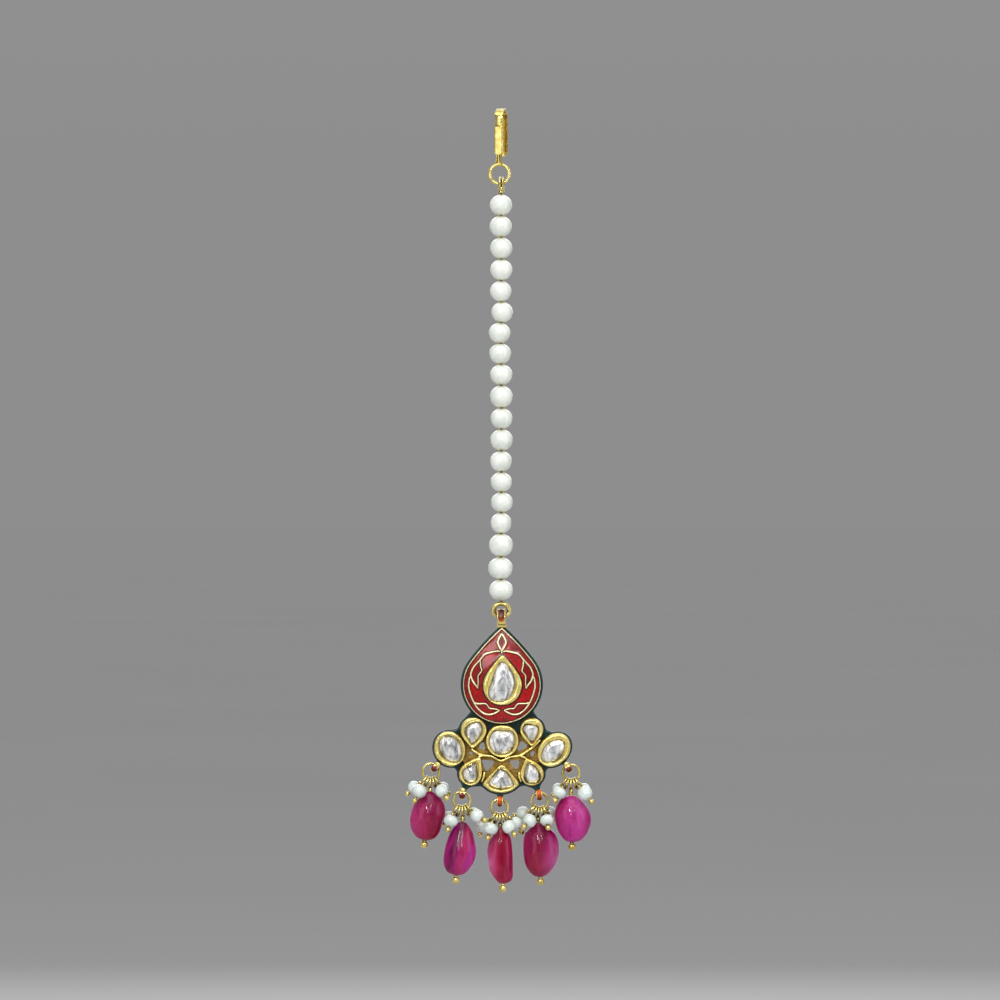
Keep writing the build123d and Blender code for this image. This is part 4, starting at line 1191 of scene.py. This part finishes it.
def make_ridges():
    """Raised gold strips that edge the openings."""
    shape = Shape()
    for corners in RIDGES:
        path = blend_curve([flat(x, z, RIDGE_DEPTH) for x, z in corners], 8, closed=False)
        last = len(path) - 1
        reach = [
            RIDGE_RADIUS * (1 + 0.12 * noise.noise(p * 1.3))
            * (0.8 + 0.2 * min(1.0, min(k, last - k) / 4))
            for k, p in enumerate(path)
        ]
        tube(shape, path, reach, 14, up=FRONT, squash=1.7)
    place(shape.build("gold_ridges", GOLD, 60), "pendant", "gold")


def remeshed(node, voxel, rounds):
    """Copy of a solid's mesh with evenly spaced points and softened edges."""
    piece = bpy.data.objects.new("work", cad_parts[node].data.copy())
    bpy.context.scene.collection.objects.link(piece)
    remesh = piece.modifiers.new("even", "REMESH")
    remesh.mode = "VOXEL"
    remesh.voxel_size = voxel * MM
    smooth = piece.modifiers.new("soft", "SMOOTH")
    smooth.factor = 0.5
    smooth.iterations = rounds
    apply_all(piece)
    mesh = piece.data
    bpy.data.objects.remove(piece)
    return mesh


def make_back():
    """Green enamelled body behind the gold."""
    mesh = remeshed("back_enamel", 0.17, 3)
    mesh.attributes.new("tone", "FLOAT", "POINT")
    place(dress("enamel_back", mesh, GREEN, 60), "pendant", "green_enamel", "back_enamel")


# ---------------------------------------------------------------- bail and lugs
BAIL = Vector((0, STRING_Y, -91.17))
BAIL_RADIUS = 1.55
BAIL_BORE = 0.72
BAIL_WIDTH = 1.46


def barrel(shape, centre, axis, outer, inner, width):
    """Ring-shaped barrel with rounded edges."""
    half = width / 2
    edge = 0.12
    profile = []
    for along, radius, quarter in (
        (half - edge, outer - edge, 0), (-half + edge, outer - edge, 1),
        (-half + edge, inner + edge, 2), (half - edge, inner + edge, 3),
    ):
        for step in range(5):
            a = math.radians(quarter * 90 + step * 22.5)
            profile.append((along + edge * math.cos(a), radius + edge * math.sin(a)))
    lathe(shape, centre, axis, profile, 56, True)


# Section of an enamel strip: across it, and its rise.
STRIP_SECTION = (
    (-1, -0.5), (-0.95, 0.3), (-0.6, 0.85), (0, 1.1), (0.6, 0.85), (0.95, 0.3), (1, -0.5), (0, -0.7),
)


def enamel_arc(shape, centre, axis, forward, upward, radius, half_width, start, end, thick):
    """Strip of enamel bent round the front of a barrel; its tones fall from 1 to 0."""
    rows = []
    tones = []
    for t in shares(20):
        out = swing(forward, upward, math.radians(start + (end - start) * t))
        reach = half_width * math.sqrt(max(0.04, 1 - abs(2 * t - 1) ** 5))
        rows.append([
            centre + axis * across * reach + out * (radius + rise * thick)
            for across, rise in STRIP_SECTION
        ])
        tones.append(1 - t)
    shape.skin(rows, False, tones)


# Heights of the bail's neck with its half width and the depth of its front, with a groove.
NECK_LEVELS = (
    (-91.6, 0.74, 1.0), (-92.25, 0.76, 1.22), (-92.36, 0.77, 1.2), (-92.4, 0.7, 1.0),
    (-92.48, 0.7, 1.0), (-92.52, 0.8, 1.14), (-92.82, 0.9, 1.0), (-93.0, 0.75, 0.85),
)


def make_bail():
    """Barrel with raised rims, its neck on the plaque's tip, and its enamel strip."""
    shape = Shape()
    barrel(shape, BAIL, RIGHT, BAIL_RADIUS, BAIL_BORE, BAIL_WIDTH)
    for side in (-1, 1):
        rim = circle(BAIL + RIGHT * 0.65 * side, UP, FRONT, BAIL_RADIUS + 0.01, 48)
        tube(shape, rim, 0.09, 10, closed=True, up=RIGHT)
    neck = []
    for z, half, depth in NECK_LEVELS:
        thick = (depth - PLATE_DEPTH) / 2
        middle = (depth + PLATE_DEPTH) / 2
        lean = PLAQUE.x * (BAIL.z - z) / 1.7
        neck.append([
            flat(lean + x, z, middle + y) for x, y in rounded_strip(half, thick, 0.06, 0.12)
        ])
    shape.skin(neck)
    place(shape.build("bail_metal", GOLD, 50), "pendant", "gold")
    enamel = Shape()
    enamel_arc(enamel, BAIL, RIGHT, FRONT, UP, BAIL_RADIUS + 0.01, 0.55, -27, 75, 0.09)
    enamel.tones = [tone**5 for tone in enamel.tones]
    place(enamel.build("bail_strip", BAIL_RED, 60), "pendant", "red_enamel", "lug_enamel")


# x, z: centre of the jump ring; turn: the lug's place on it, clockwise from its top;
# anchor_x, anchor_z: the setting that carries it; loop: the ruby pin's loop in degrees to
# the right of the ring's lowest point; ball_x, ball_z: its end ball from the ring's centre;
# wraps: turns of wire round the pin; bead: whether the lug has a bead or a strip of enamel.
Drop = namedtuple("Drop", "x z turn anchor_x anchor_z loop ball_x ball_z wraps bead")
DROPS = (
    Drop(-12.65, -118.94, 43, -9.25, -114.88, -3, -1.22, -13.09, 1.5, True),
    Drop(-7.11, -124.02, 5, -5.55, -119.28, 5, -1.08, -14.4, 2.4, True),
    Drop(-0.31, -125.37, 3, -0.1, -121.0, 3, 0.63, -14.53, 1.6, False),
    Drop(6.91, -124.2, -4, 5.51, -119.25, -6, 0.16, -14.45, 2.2, False),
    Drop(12.55, -119.16, -28, 9.47, -114.98, 0, 0.18, -13.23, 3.4, True),
)
# Seed pearls of each drop, on loops at SEED_LOOPS degrees from the ruby pin's: depth and place
# of the pearl from the ring's centre, place of its end ball, and its width and height.
Seed = namedtuple("Seed", "depth x z ball_x ball_z width height")
SEED_LOOPS = (-19, -38, 19, 38)
SEEDS = (
    (
        Seed(2.45, -2.05, -3.33, -2.90, -5.10, 2.7, 2.6),
        Seed(-1.7, -2.97, -2.88, -4.23, -4.03, 2.6, 2.4),
        Seed(2.2, 1.94, -3.38, 2.81, -4.60, 2.45, 2.55),
        Seed(-2.0, 2.10, -3.00, 3.10, -4.10, 2.4, 2.4),
    ),
    (
        Seed(1.9, -2.00, -3.67, -2.47, -5.22, 2.75, 2.2),
        Seed(-1.8, -2.20, -3.20, -3.10, -4.40, 2.4, 2.2),
        Seed(2.6, 2.75, -2.75, 4.15, -3.50, 2.5, 2.6),
        Seed(-1.9, 2.10, -2.60, 3.10, -3.60, 2.5, 2.5),
    ),
    (
        Seed(1.7, -1.66, -3.73, -2.09, -5.30, 2.8, 2.3),
        Seed(-1.7, -3.20, -3.40, -3.53, -4.90, 2.5, 2.4),
        Seed(1.7, 1.71, -3.42, 2.68, -4.73, 2.6, 2.6),
        Seed(-1.2, 2.92, -2.88, 3.96, -4.46, 2.6, 2.5),
    ),
    (
        Seed(2.0, -1.78, -3.46, -2.84, -4.52, 2.55, 2.4),
        Seed(-2.8, -3.02, -2.32, -4.50, -2.80, 2.6, 2.5),
        Seed(2.0, 1.30, -3.38, 1.50, -4.68, 2.6, 2.1),
        Seed(-2.2, 1.80, -2.20, 2.30, -3.70, 2.5, 2.4),
    ),
    (
        Seed(2.0, -2.12, -3.50, -2.86, -4.80, 2.6, 2.15),
        Seed(-1.9, -2.30, -3.00, -3.20, -4.10, 2.4, 2.2),
        Seed(1.9, 2.48, -3.56, 3.67, -5.03, 2.75, 2.7),
        Seed(-1.9, 2.40, -3.00, 3.40, -4.10, 2.4, 2.3),
    ),
)
LUG_STEP = 1.12
LUG_RADIUS = 0.98
LUG_BORE = 0.66
LUG_WIDTH = 1.0
RING_RADIUS = 1.5
RING_WIRE = 0.24
LOOP_RADIUS = 0.85
LOOP_DROP = 0.4
LOOP_TURNS = 1.9
PIN_WIRE = 0.15
PIN_SHAFT = 0.13
END_BALL = 0.7
SEED_BALL = 0.5

# Collars where a pin enters its end ball: places along the pin and radii.
BALL_FOOT = ((-0.78, 0.15), (-0.8, 0.34), (-0.7, 0.42), (-0.55, 0.42))
SEED_BALL_FOOT = ((-0.56, 0.1), (-0.58, 0.24), (-0.5, 0.3), (-0.38, 0.3))


def drop_point(drop, x, z, depth=0.0):
    """Point given from the centre of a drop's jump ring."""
    return flat(drop.x + x, drop.z + z, LUG_DEPTH + depth)


def add_lug_bar(shape, green, centre, way):
    """Bar from a lug to its setting, with the green tongue in front of it."""
    side = way.cross(FRONT)
    stem = []
    tongue = []
    for t in shares(8):
        point = centre + way * (0.72 + 1.25 * t)
        flare = 0.44 + 0.9 * t**2.2
        stem.append([
            point + side * x + FRONT * (y - 0.05) for x, y in rounded_strip(0.4, 0.3, 0.0, 0.1)
        ])
        tongue.append([
            point + side * x + FRONT * (y + 0.06) for x, y in rounded_strip(flare, 0.34, 0.06, 0.1)
        ])
    shape.skin(stem)
    green.skin(tongue)


def add_bead_front(shape, enamel, centre, outward, way):
    """Gold granule and a round bead of enamel on a lug."""
    granule = centre + outward * 0.62 + way * 0.1 + FRONT * 0.72
    ball(shape, granule, FRONT, 0.5, 10, 20, 0.8)
    ball(enamel, centre - outward * 0.26 + FRONT * 0.84, FRONT, 0.58, 10, 20, 0.45)
    enamel.tones = [
        min(1.0, max(0.0, 0.95 - (p - centre + outward * 0.26).dot(outward) * 0.7))
        for p in enamel.points
    ]


def add_strip_front(shape, enamel, centre, outward, axis):
    """Two raised rims on a lug, and the strip of enamel between them."""
    for edge in (-1, 1):
        rim = circle(centre + axis * 0.46 * edge, outward, FRONT, LUG_RADIUS, 40)
        tube(shape, rim, 0.08, 8, closed=True, up=axis)
    enamel_arc(enamel, centre, axis, FRONT, outward, LUG_RADIUS + 0.01, 0.43, -66, 70, 0.1)
    enamel.tones = [min(1.0, 1.6 * t**2.2) for t in enamel.tones]


def make_lug(number, drop):
    """Barrel that holds a jump ring, its bar, and the enamel on its front."""
    turn = math.radians(drop.turn)
    outward = Vector((math.sin(turn), 0, math.cos(turn)))
    axis = Vector((math.cos(turn), 0, -math.sin(turn)))
    centre = drop_point(drop, 0, 0) + outward * LUG_STEP
    way = (flat(drop.anchor_x, drop.anchor_z, LUG_DEPTH) - centre).normalized()
    shape, green, enamel = Shape(), Shape(), Shape()
    barrel(shape, centre, axis, LUG_RADIUS, LUG_BORE, LUG_WIDTH)
    add_lug_bar(shape, green, centre, way)
    if drop.bead:
        add_bead_front(shape, enamel, centre, outward, way)
    else:
        add_strip_front(shape, enamel, centre, outward, axis)
    slot = "red_enamel" if drop.bead else "orange_enamel"
    place(green.build(f"lug_tongue_{number}", GREEN, 60), "pendant", "green_enamel")
    place(shape.build(f"lug_metal_{number}", GOLD, 50), "pendant", "gold")
    place(enamel.build(f"lug_spot_{number}", ORANGE, 60), "pendant", slot)


# ---------------------------------------------------------------- ruby drops
def make_jump_ring(number, drop):
    """Hand-bent ring with a soldered join."""
    shape = Shape()
    steps = 72
    join = math.radians(drop.turn + 150)
    path = []
    reach = []
    for k in range(steps):
        a = TURN * k / steps
        out = Vector((math.sin(a), 0, math.cos(a)))
        hand = 0.015 * noise.noise(out * 1.5 + Vector((number, 0, 0)))
        path.append(drop_point(drop, 0, 0) + out * (RING_RADIUS + hand))
        near = math.cos(a - join)
        reach.append(RING_WIRE * (1.0 + 0.1 * math.exp(-(1 - near) * 120)))
    tube(shape, path, reach, 16, closed=True, up=FRONT)
    place(shape.build(f"ring_wire_{number}", PAINTED_SHADE_WIRE_GOLD), "pendant", "gold", f"jump_ring_{number}")


def pin_loop(shape, drop, angle):
    """Loop of a pin round the ring's wire, wound almost twice; gives its lowest point."""
    turn = math.radians(angle)
    way = Vector((math.sin(turn), 0, -math.cos(turn)))
    centre = drop_point(drop, 0, 0) + way * (RING_RADIUS + LOOP_DROP)
    across = way.cross(DEEP)
    path = []
    for t in shares(72):
        a = TURN * LOOP_TURNS * t
        out = swing(way, DEEP, a)
        spread = 0.1 + 0.05 * math.cos(a)
        path.append(centre + out * LOOP_RADIUS + across * spread * (1 - 2 * t))
    wire(shape, path, PIN_WIRE, 10, up=across)
    return centre + way * LOOP_RADIUS


def coil(shape, start, way, turns, radius=0.33, wire_radius=0.15, pitch=0.29):
    """Wraps of thin wire round a pin."""
    wire(shape, helix(start, way, radius, pitch, turns), wire_radius, 8)


def make_ruby_pin(number, drop):
    """Pin through a ruby: loop, wraps, shaft and end ball with a small foot."""
    shape = Shape()
    start = pin_loop(shape, drop, drop.loop)
    end = drop_point(drop, drop.ball_x, drop.ball_z)
    way = (end - start).normalized()
    tube(shape, [start, end], PIN_SHAFT, 10)
    coil(shape, start + way * 0.1, way, drop.wraps + 0.6)
    ball(shape, end, way, END_BALL, 16, 28, 0.98)
    lathe(shape, end, way, BALL_FOOT, 24)
    place(shape.build(f"ruby_wire_{number}", PAINTED_SHADE_WIRE_GOLD), "pendant", "gold", f"ruby_pin_{number}")


def seed_line(drop, seed):
    """Centre of a seed pearl, the way of its pin and the pin's end ball."""
    reach = seed.height / 2 + SEED_BALL + 0.05
    seen = math.hypot(seed.ball_x - seed.x, seed.ball_z - seed.z)
    lean = math.sqrt(max(reach**2 - seen**2, 0))
    end_depth = seed.depth + (lean if seed.depth > 0 else -lean)
    centre = drop_point(drop, seed.x, seed.z, seed.depth)
    end = drop_point(drop, seed.ball_x, seed.ball_z, end_depth)
    return centre, (end - centre).normalized(), end


def make_seeds(number, drop, seeds):
    """Four seed pearls of a drop and their pins."""
    pearls = Shape()
    pins = Shape()
    for index, (angle, seed) in enumerate(zip(SEED_LOOPS, seeds)):
        centre, way, end = seed_line(drop, seed)
        pearl_form(pearls, centre, way, seed.width, seed.height, 0.24, number * 5 + index, 0.05)
        start = pin_loop(pins, drop, drop.loop + angle)
        bend = centre - way * (seed.height / 2 + 0.3)
        up_way = (bend - start).normalized()
        path = blend_curve([start, start.lerp(bend, 0.6), bend, centre, end], 6, closed=False)
        tube(pins, path, PIN_SHAFT, 10)
        coil(pins, start + up_way * 0.12, up_way, 1.6, 0.26, 0.12, 0.24)
        ball(pins, end, way, SEED_BALL, 12, 24, 0.97)
        lathe(pins, end, way, SEED_BALL_FOOT, 18)
    place(pearls.build(f"seed_nacre_{number}", SEED_PEARL), "pendant", "seed_pearl",
          f"seed_pearls_{number}")
    place(pins.build(f"seed_wire_{number}", PAINTED_SHADE_WIRE_GOLD), "pendant", "gold", f"pearl_pins_{number}")


# Each ruby's lean of its colour zones, and the zones from left to right across its upper
# and its lower end.  The pale stops at the third ruby's lower left, the fourth's lower right
# and the fifth's upper right are painted highlights and rims.
Zones = namedtuple("Zones", "lean upper lower")
RUBY_ZONES = (
    Zones(
        0.1,
        ((0.0, 190, 66, 128), (0.38, 168, 34, 92), (0.5, 128, 18, 72),
         (1.0, 158, 30, 88)),
        ((0.0, 180, 55, 118), (0.42, 166, 38, 84), (0.6, 146, 22, 56),
         (1.0, 166, 32, 86)),
    ),
    Zones(
        -0.55,
        ((0.0, 150, 30, 100), (0.18, 170, 32, 122), (0.32, 100, 8, 68),
         (0.46, 122, 16, 74), (0.6, 182, 50, 96), (0.78, 160, 26, 100),
         (1.0, 190, 66, 148)),
        ((0.0, 168, 40, 120), (0.2, 146, 22, 98), (0.36, 112, 8, 74),
         (0.54, 168, 36, 112), (0.7, 186, 56, 108), (0.86, 180, 40, 136),
         (1.0, 190, 60, 150)),
    ),
    Zones(
        0.1,
        ((0.0, 190, 95, 140), (0.3, 185, 60, 104), (0.5, 134, 14, 48),
         (0.75, 158, 22, 62), (1.0, 168, 34, 84)),
        # The stops at 0.0 and 0.14 are a painted rim highlight.
        ((0.0, 222, 165, 198), (0.14, 200, 90, 138), (0.35, 170, 28, 72),
         (0.6, 158, 20, 60), (1.0, 168, 28, 92)),
    ),
    Zones(
        -0.1,
        ((0.0, 154, 26, 88), (0.3, 142, 24, 76), (0.5, 122, 24, 60),
         (0.72, 148, 4, 88), (1.0, 160, 14, 104)),
        ((0.0, 152, 24, 76), (0.35, 150, 30, 62), (0.55, 164, 44, 84),
         # The stops at 0.8 and 1.0 are a painted rim highlight.
         (0.8, 186, 80, 142), (1.0, 202, 124, 172)),
    ),
    Zones(
        0.05,
        ((0.0, 158, 20, 90), (0.22, 166, 26, 102), (0.45, 186, 50, 132),
         # The stop at 0.68 is a painted highlight.
         (0.68, 202, 86, 162), (1.0, 166, 26, 110)),
        ((0.0, 176, 36, 116), (0.3, 192, 52, 146), (0.7, 196, 60, 150),
         (0.92, 160, 26, 106), (1.0, 186, 72, 150)),
    ),
)


def fit_box(mesh, low, high):
    """Stretch a mesh to fill a box again after its smoothing."""
    for axis in range(3):
        values = [vertex.co[axis] for vertex in mesh.vertices]
        first, last = min(values), max(values)
        scale = (high[axis] - low[axis]) / (last - first)
        for vertex in mesh.vertices:
            vertex.co[axis] = low[axis] + (vertex.co[axis] - first) * scale


def make_ruby(number):
    """Ruby bead with softly tumbled sides and its colour zones."""
    node = f"ruby_{number}"
    zones = RUBY_ZONES[number - 1]
    mesh = remeshed(node, 0.14, 6)
    low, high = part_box(node)
    tone = mesh.attributes.new("tone", "FLOAT", "POINT")
    level = mesh.attributes.new("level", "FLOAT", "POINT")
    shift = Vector((number * 11.3, number * 4.7, 0))
    middle = (low + high) / 2
    fit_box(mesh, low, high)
    for vertex in mesh.vertices:
        spot = vertex.co / MM
        amount = noise.noise(spot * 0.38 + shift) + 0.3 * noise.noise(spot * 0.9 + shift)
        vertex.co += (vertex.co - middle).normalized() * (amount - 0.4) * 0.08 * MM
        across = (vertex.co.x - low.x) / (high.x - low.x)
        down = (middle.z - vertex.co.z) / (high.z - low.z)
        wave = 0.08 * noise.noise(spot * 0.5 + shift)
        tone.data[vertex.index].value = min(1.0, max(0.0, across - zones.lean * down + wave))
        level.data[vertex.index].value = min(1.0, max(0.0, 0.5 + 1.6 * down))
    paint = ruby_paint(f"ruby_colour_{number}", zones.upper, zones.lower)
    place(dress(node + "_gem", mesh, paint, 60), "pendant", "ruby", node)


# ---------------------------------------------------------------- stage
# Soft lights: name, place, point they look at, width and height, and power.
PENDANT_AIM = (0, 0, -0.1)
MIDDLE_AIM = (0, 0, -0.09)
LIGHTS = (
    ("low_left", (-0.06, -0.62, 0.057), PENDANT_AIM, (0.05, 0.18), 0.2),
    ("low_right", (0.032, -0.62, 0.1), PENDANT_AIM, (0.014, 0.09), 0.045),
    ("strip_left", (-0.15, -0.6, 0.21), MIDDLE_AIM, (0.016, 0.24), 0.9),
    ("strip_right", (0.11, -0.6, 0.21), MIDDLE_AIM, (0.012, 0.24), 0.7),
    ("top_box", (0, -0.3, 0.45), MIDDLE_AIM, (0.8, 0.5), 1.7),
    ("side_left", (-0.31, -0.45, -0.01), (0, 0, -0.03), (0.2, 0.34), 0.26),
    ("side_right", (0.45, -0.3, 0.0), MIDDLE_AIM, (0.25, 0.4), 0.4),
    ("back_box", (0, 0.5, 0.15), MIDDLE_AIM, (0.5, 0.4), 1.0),
)


def make_light(name, where, aim, size, power):
    """Soft box that looks at a point."""
    data = bpy.data.lights.new(name, "AREA")
    data.shape = "RECTANGLE"
    data.size, data.size_y = size
    data.energy = power
    lamp = bpy.data.objects.new(name, data)
    bpy.context.scene.collection.objects.link(lamp)
    lamp.location = where
    lamp.rotation_euler = (Vector(aim) - Vector(where)).to_track_quat("-Z", "Y").to_euler()


def make_surround():
    """Even studio air: brighter overhead, dimmer at eye level and below."""
    world = bpy.data.worlds.new("surround")
    bpy.context.scene.world = world
    world.use_nodes = True
    tree = world.node_tree
    direction = tree.nodes.new("ShaderNodeTexCoord")
    split = tree.nodes.new("ShaderNodeSeparateXYZ")
    shade = tree.nodes.new("ShaderNodeValToRGB")
    tree.links.new(direction.outputs["Generated"], split.inputs["Vector"])
    tree.links.new(split.outputs["Z"], shade.inputs["Fac"])
    tree.links.new(shade.outputs["Color"], tree.nodes["Background"].inputs["Color"])
    low, high = shade.color_ramp.elements
    low.position, low.color = 0.05, (0.27, 0.27, 0.273, 1)
    high.position, high.color = 0.9, (0.62, 0.62, 0.63, 1)


def make_floor():
    """Pale floor, 60 m wide and 6 cm below the hanging jewel."""
    bpy.ops.mesh.primitive_plane_add(size=60, location=(0, 0, -0.2))
    floor = bpy.context.object
    floor.name = "studio_floor"
    paint = Paint("floor_paint", Roughness=0.9)
    stops = (0.3, (0.47, 0.47, 0.473)), (0.7, (0.485, 0.485, 0.488))
    paint.colour(paint.ramp(paint.grain(3, 2), *stops))
    floor.data.materials.append(paint.material)


CAMERA_DISTANCE = 1.2


def make_camera():
    """Level view from the front that takes in 180 mm at the jewel."""
    data = bpy.data.cameras.new("camera")
    data.sensor_width = 36
    data.lens = 240
    data.clip_start = 0.05
    camera = bpy.data.objects.new("camera", data)
    bpy.context.scene.collection.objects.link(camera)
    camera.location = (-0.00023, PENDANT_Y * MM - CAMERA_DISTANCE, -0.07)
    camera.rotation_euler = (math.radians(90), 0, 0)
    bpy.context.scene.camera = camera


def make_stage():
    """Floor, lights, surround and camera."""
    make_floor()
    for light in LIGHTS:
        make_light(*light)
    make_surround()
    bpy.context.scene.view_settings.view_transform = "Standard"
    make_camera()


def make_plaque():
    """Enamel, gold lines and border of the plaque; the enamel starts inside the main collar."""
    centre = Vector((SETTINGS[0].x, 0, SETTINGS[0].z))
    make_plaque_enamel([p + centre - PLAQUE for p in setting_outline(SETTINGS[0])])
    make_line_work()
    make_border()


def make_settings():
    """Collars and stones; the main one is higher and has more facets."""
    make_collar(SETTINGS[0], MAIN_COLLAR_SECTION, MAIN_CREST)
    make_polki(SETTINGS[0], corners=11, low=1.5, top=2.42, seed=0)
    for index, setting in enumerate(SETTINGS[1:], 1):
        make_collar(setting, COLLAR_SECTION, CREST)
        make_polki(setting, corners=9, low=0.55, top=1.2, seed=index)


def main():
    make_stage()
    make_hook()
    make_string_wire()
    make_pearls()
    make_plaque()
    make_plate()
    make_ridges()
    make_back()
    make_settings()
    make_bail()
    for number, (drop, seeds) in enumerate(zip(DROPS, SEEDS), 1):
        make_lug(number, drop)
        make_jump_ring(number, drop)
        make_ruby_pin(number, drop)
        make_seeds(number, drop, seeds)
        make_ruby(number)


main()
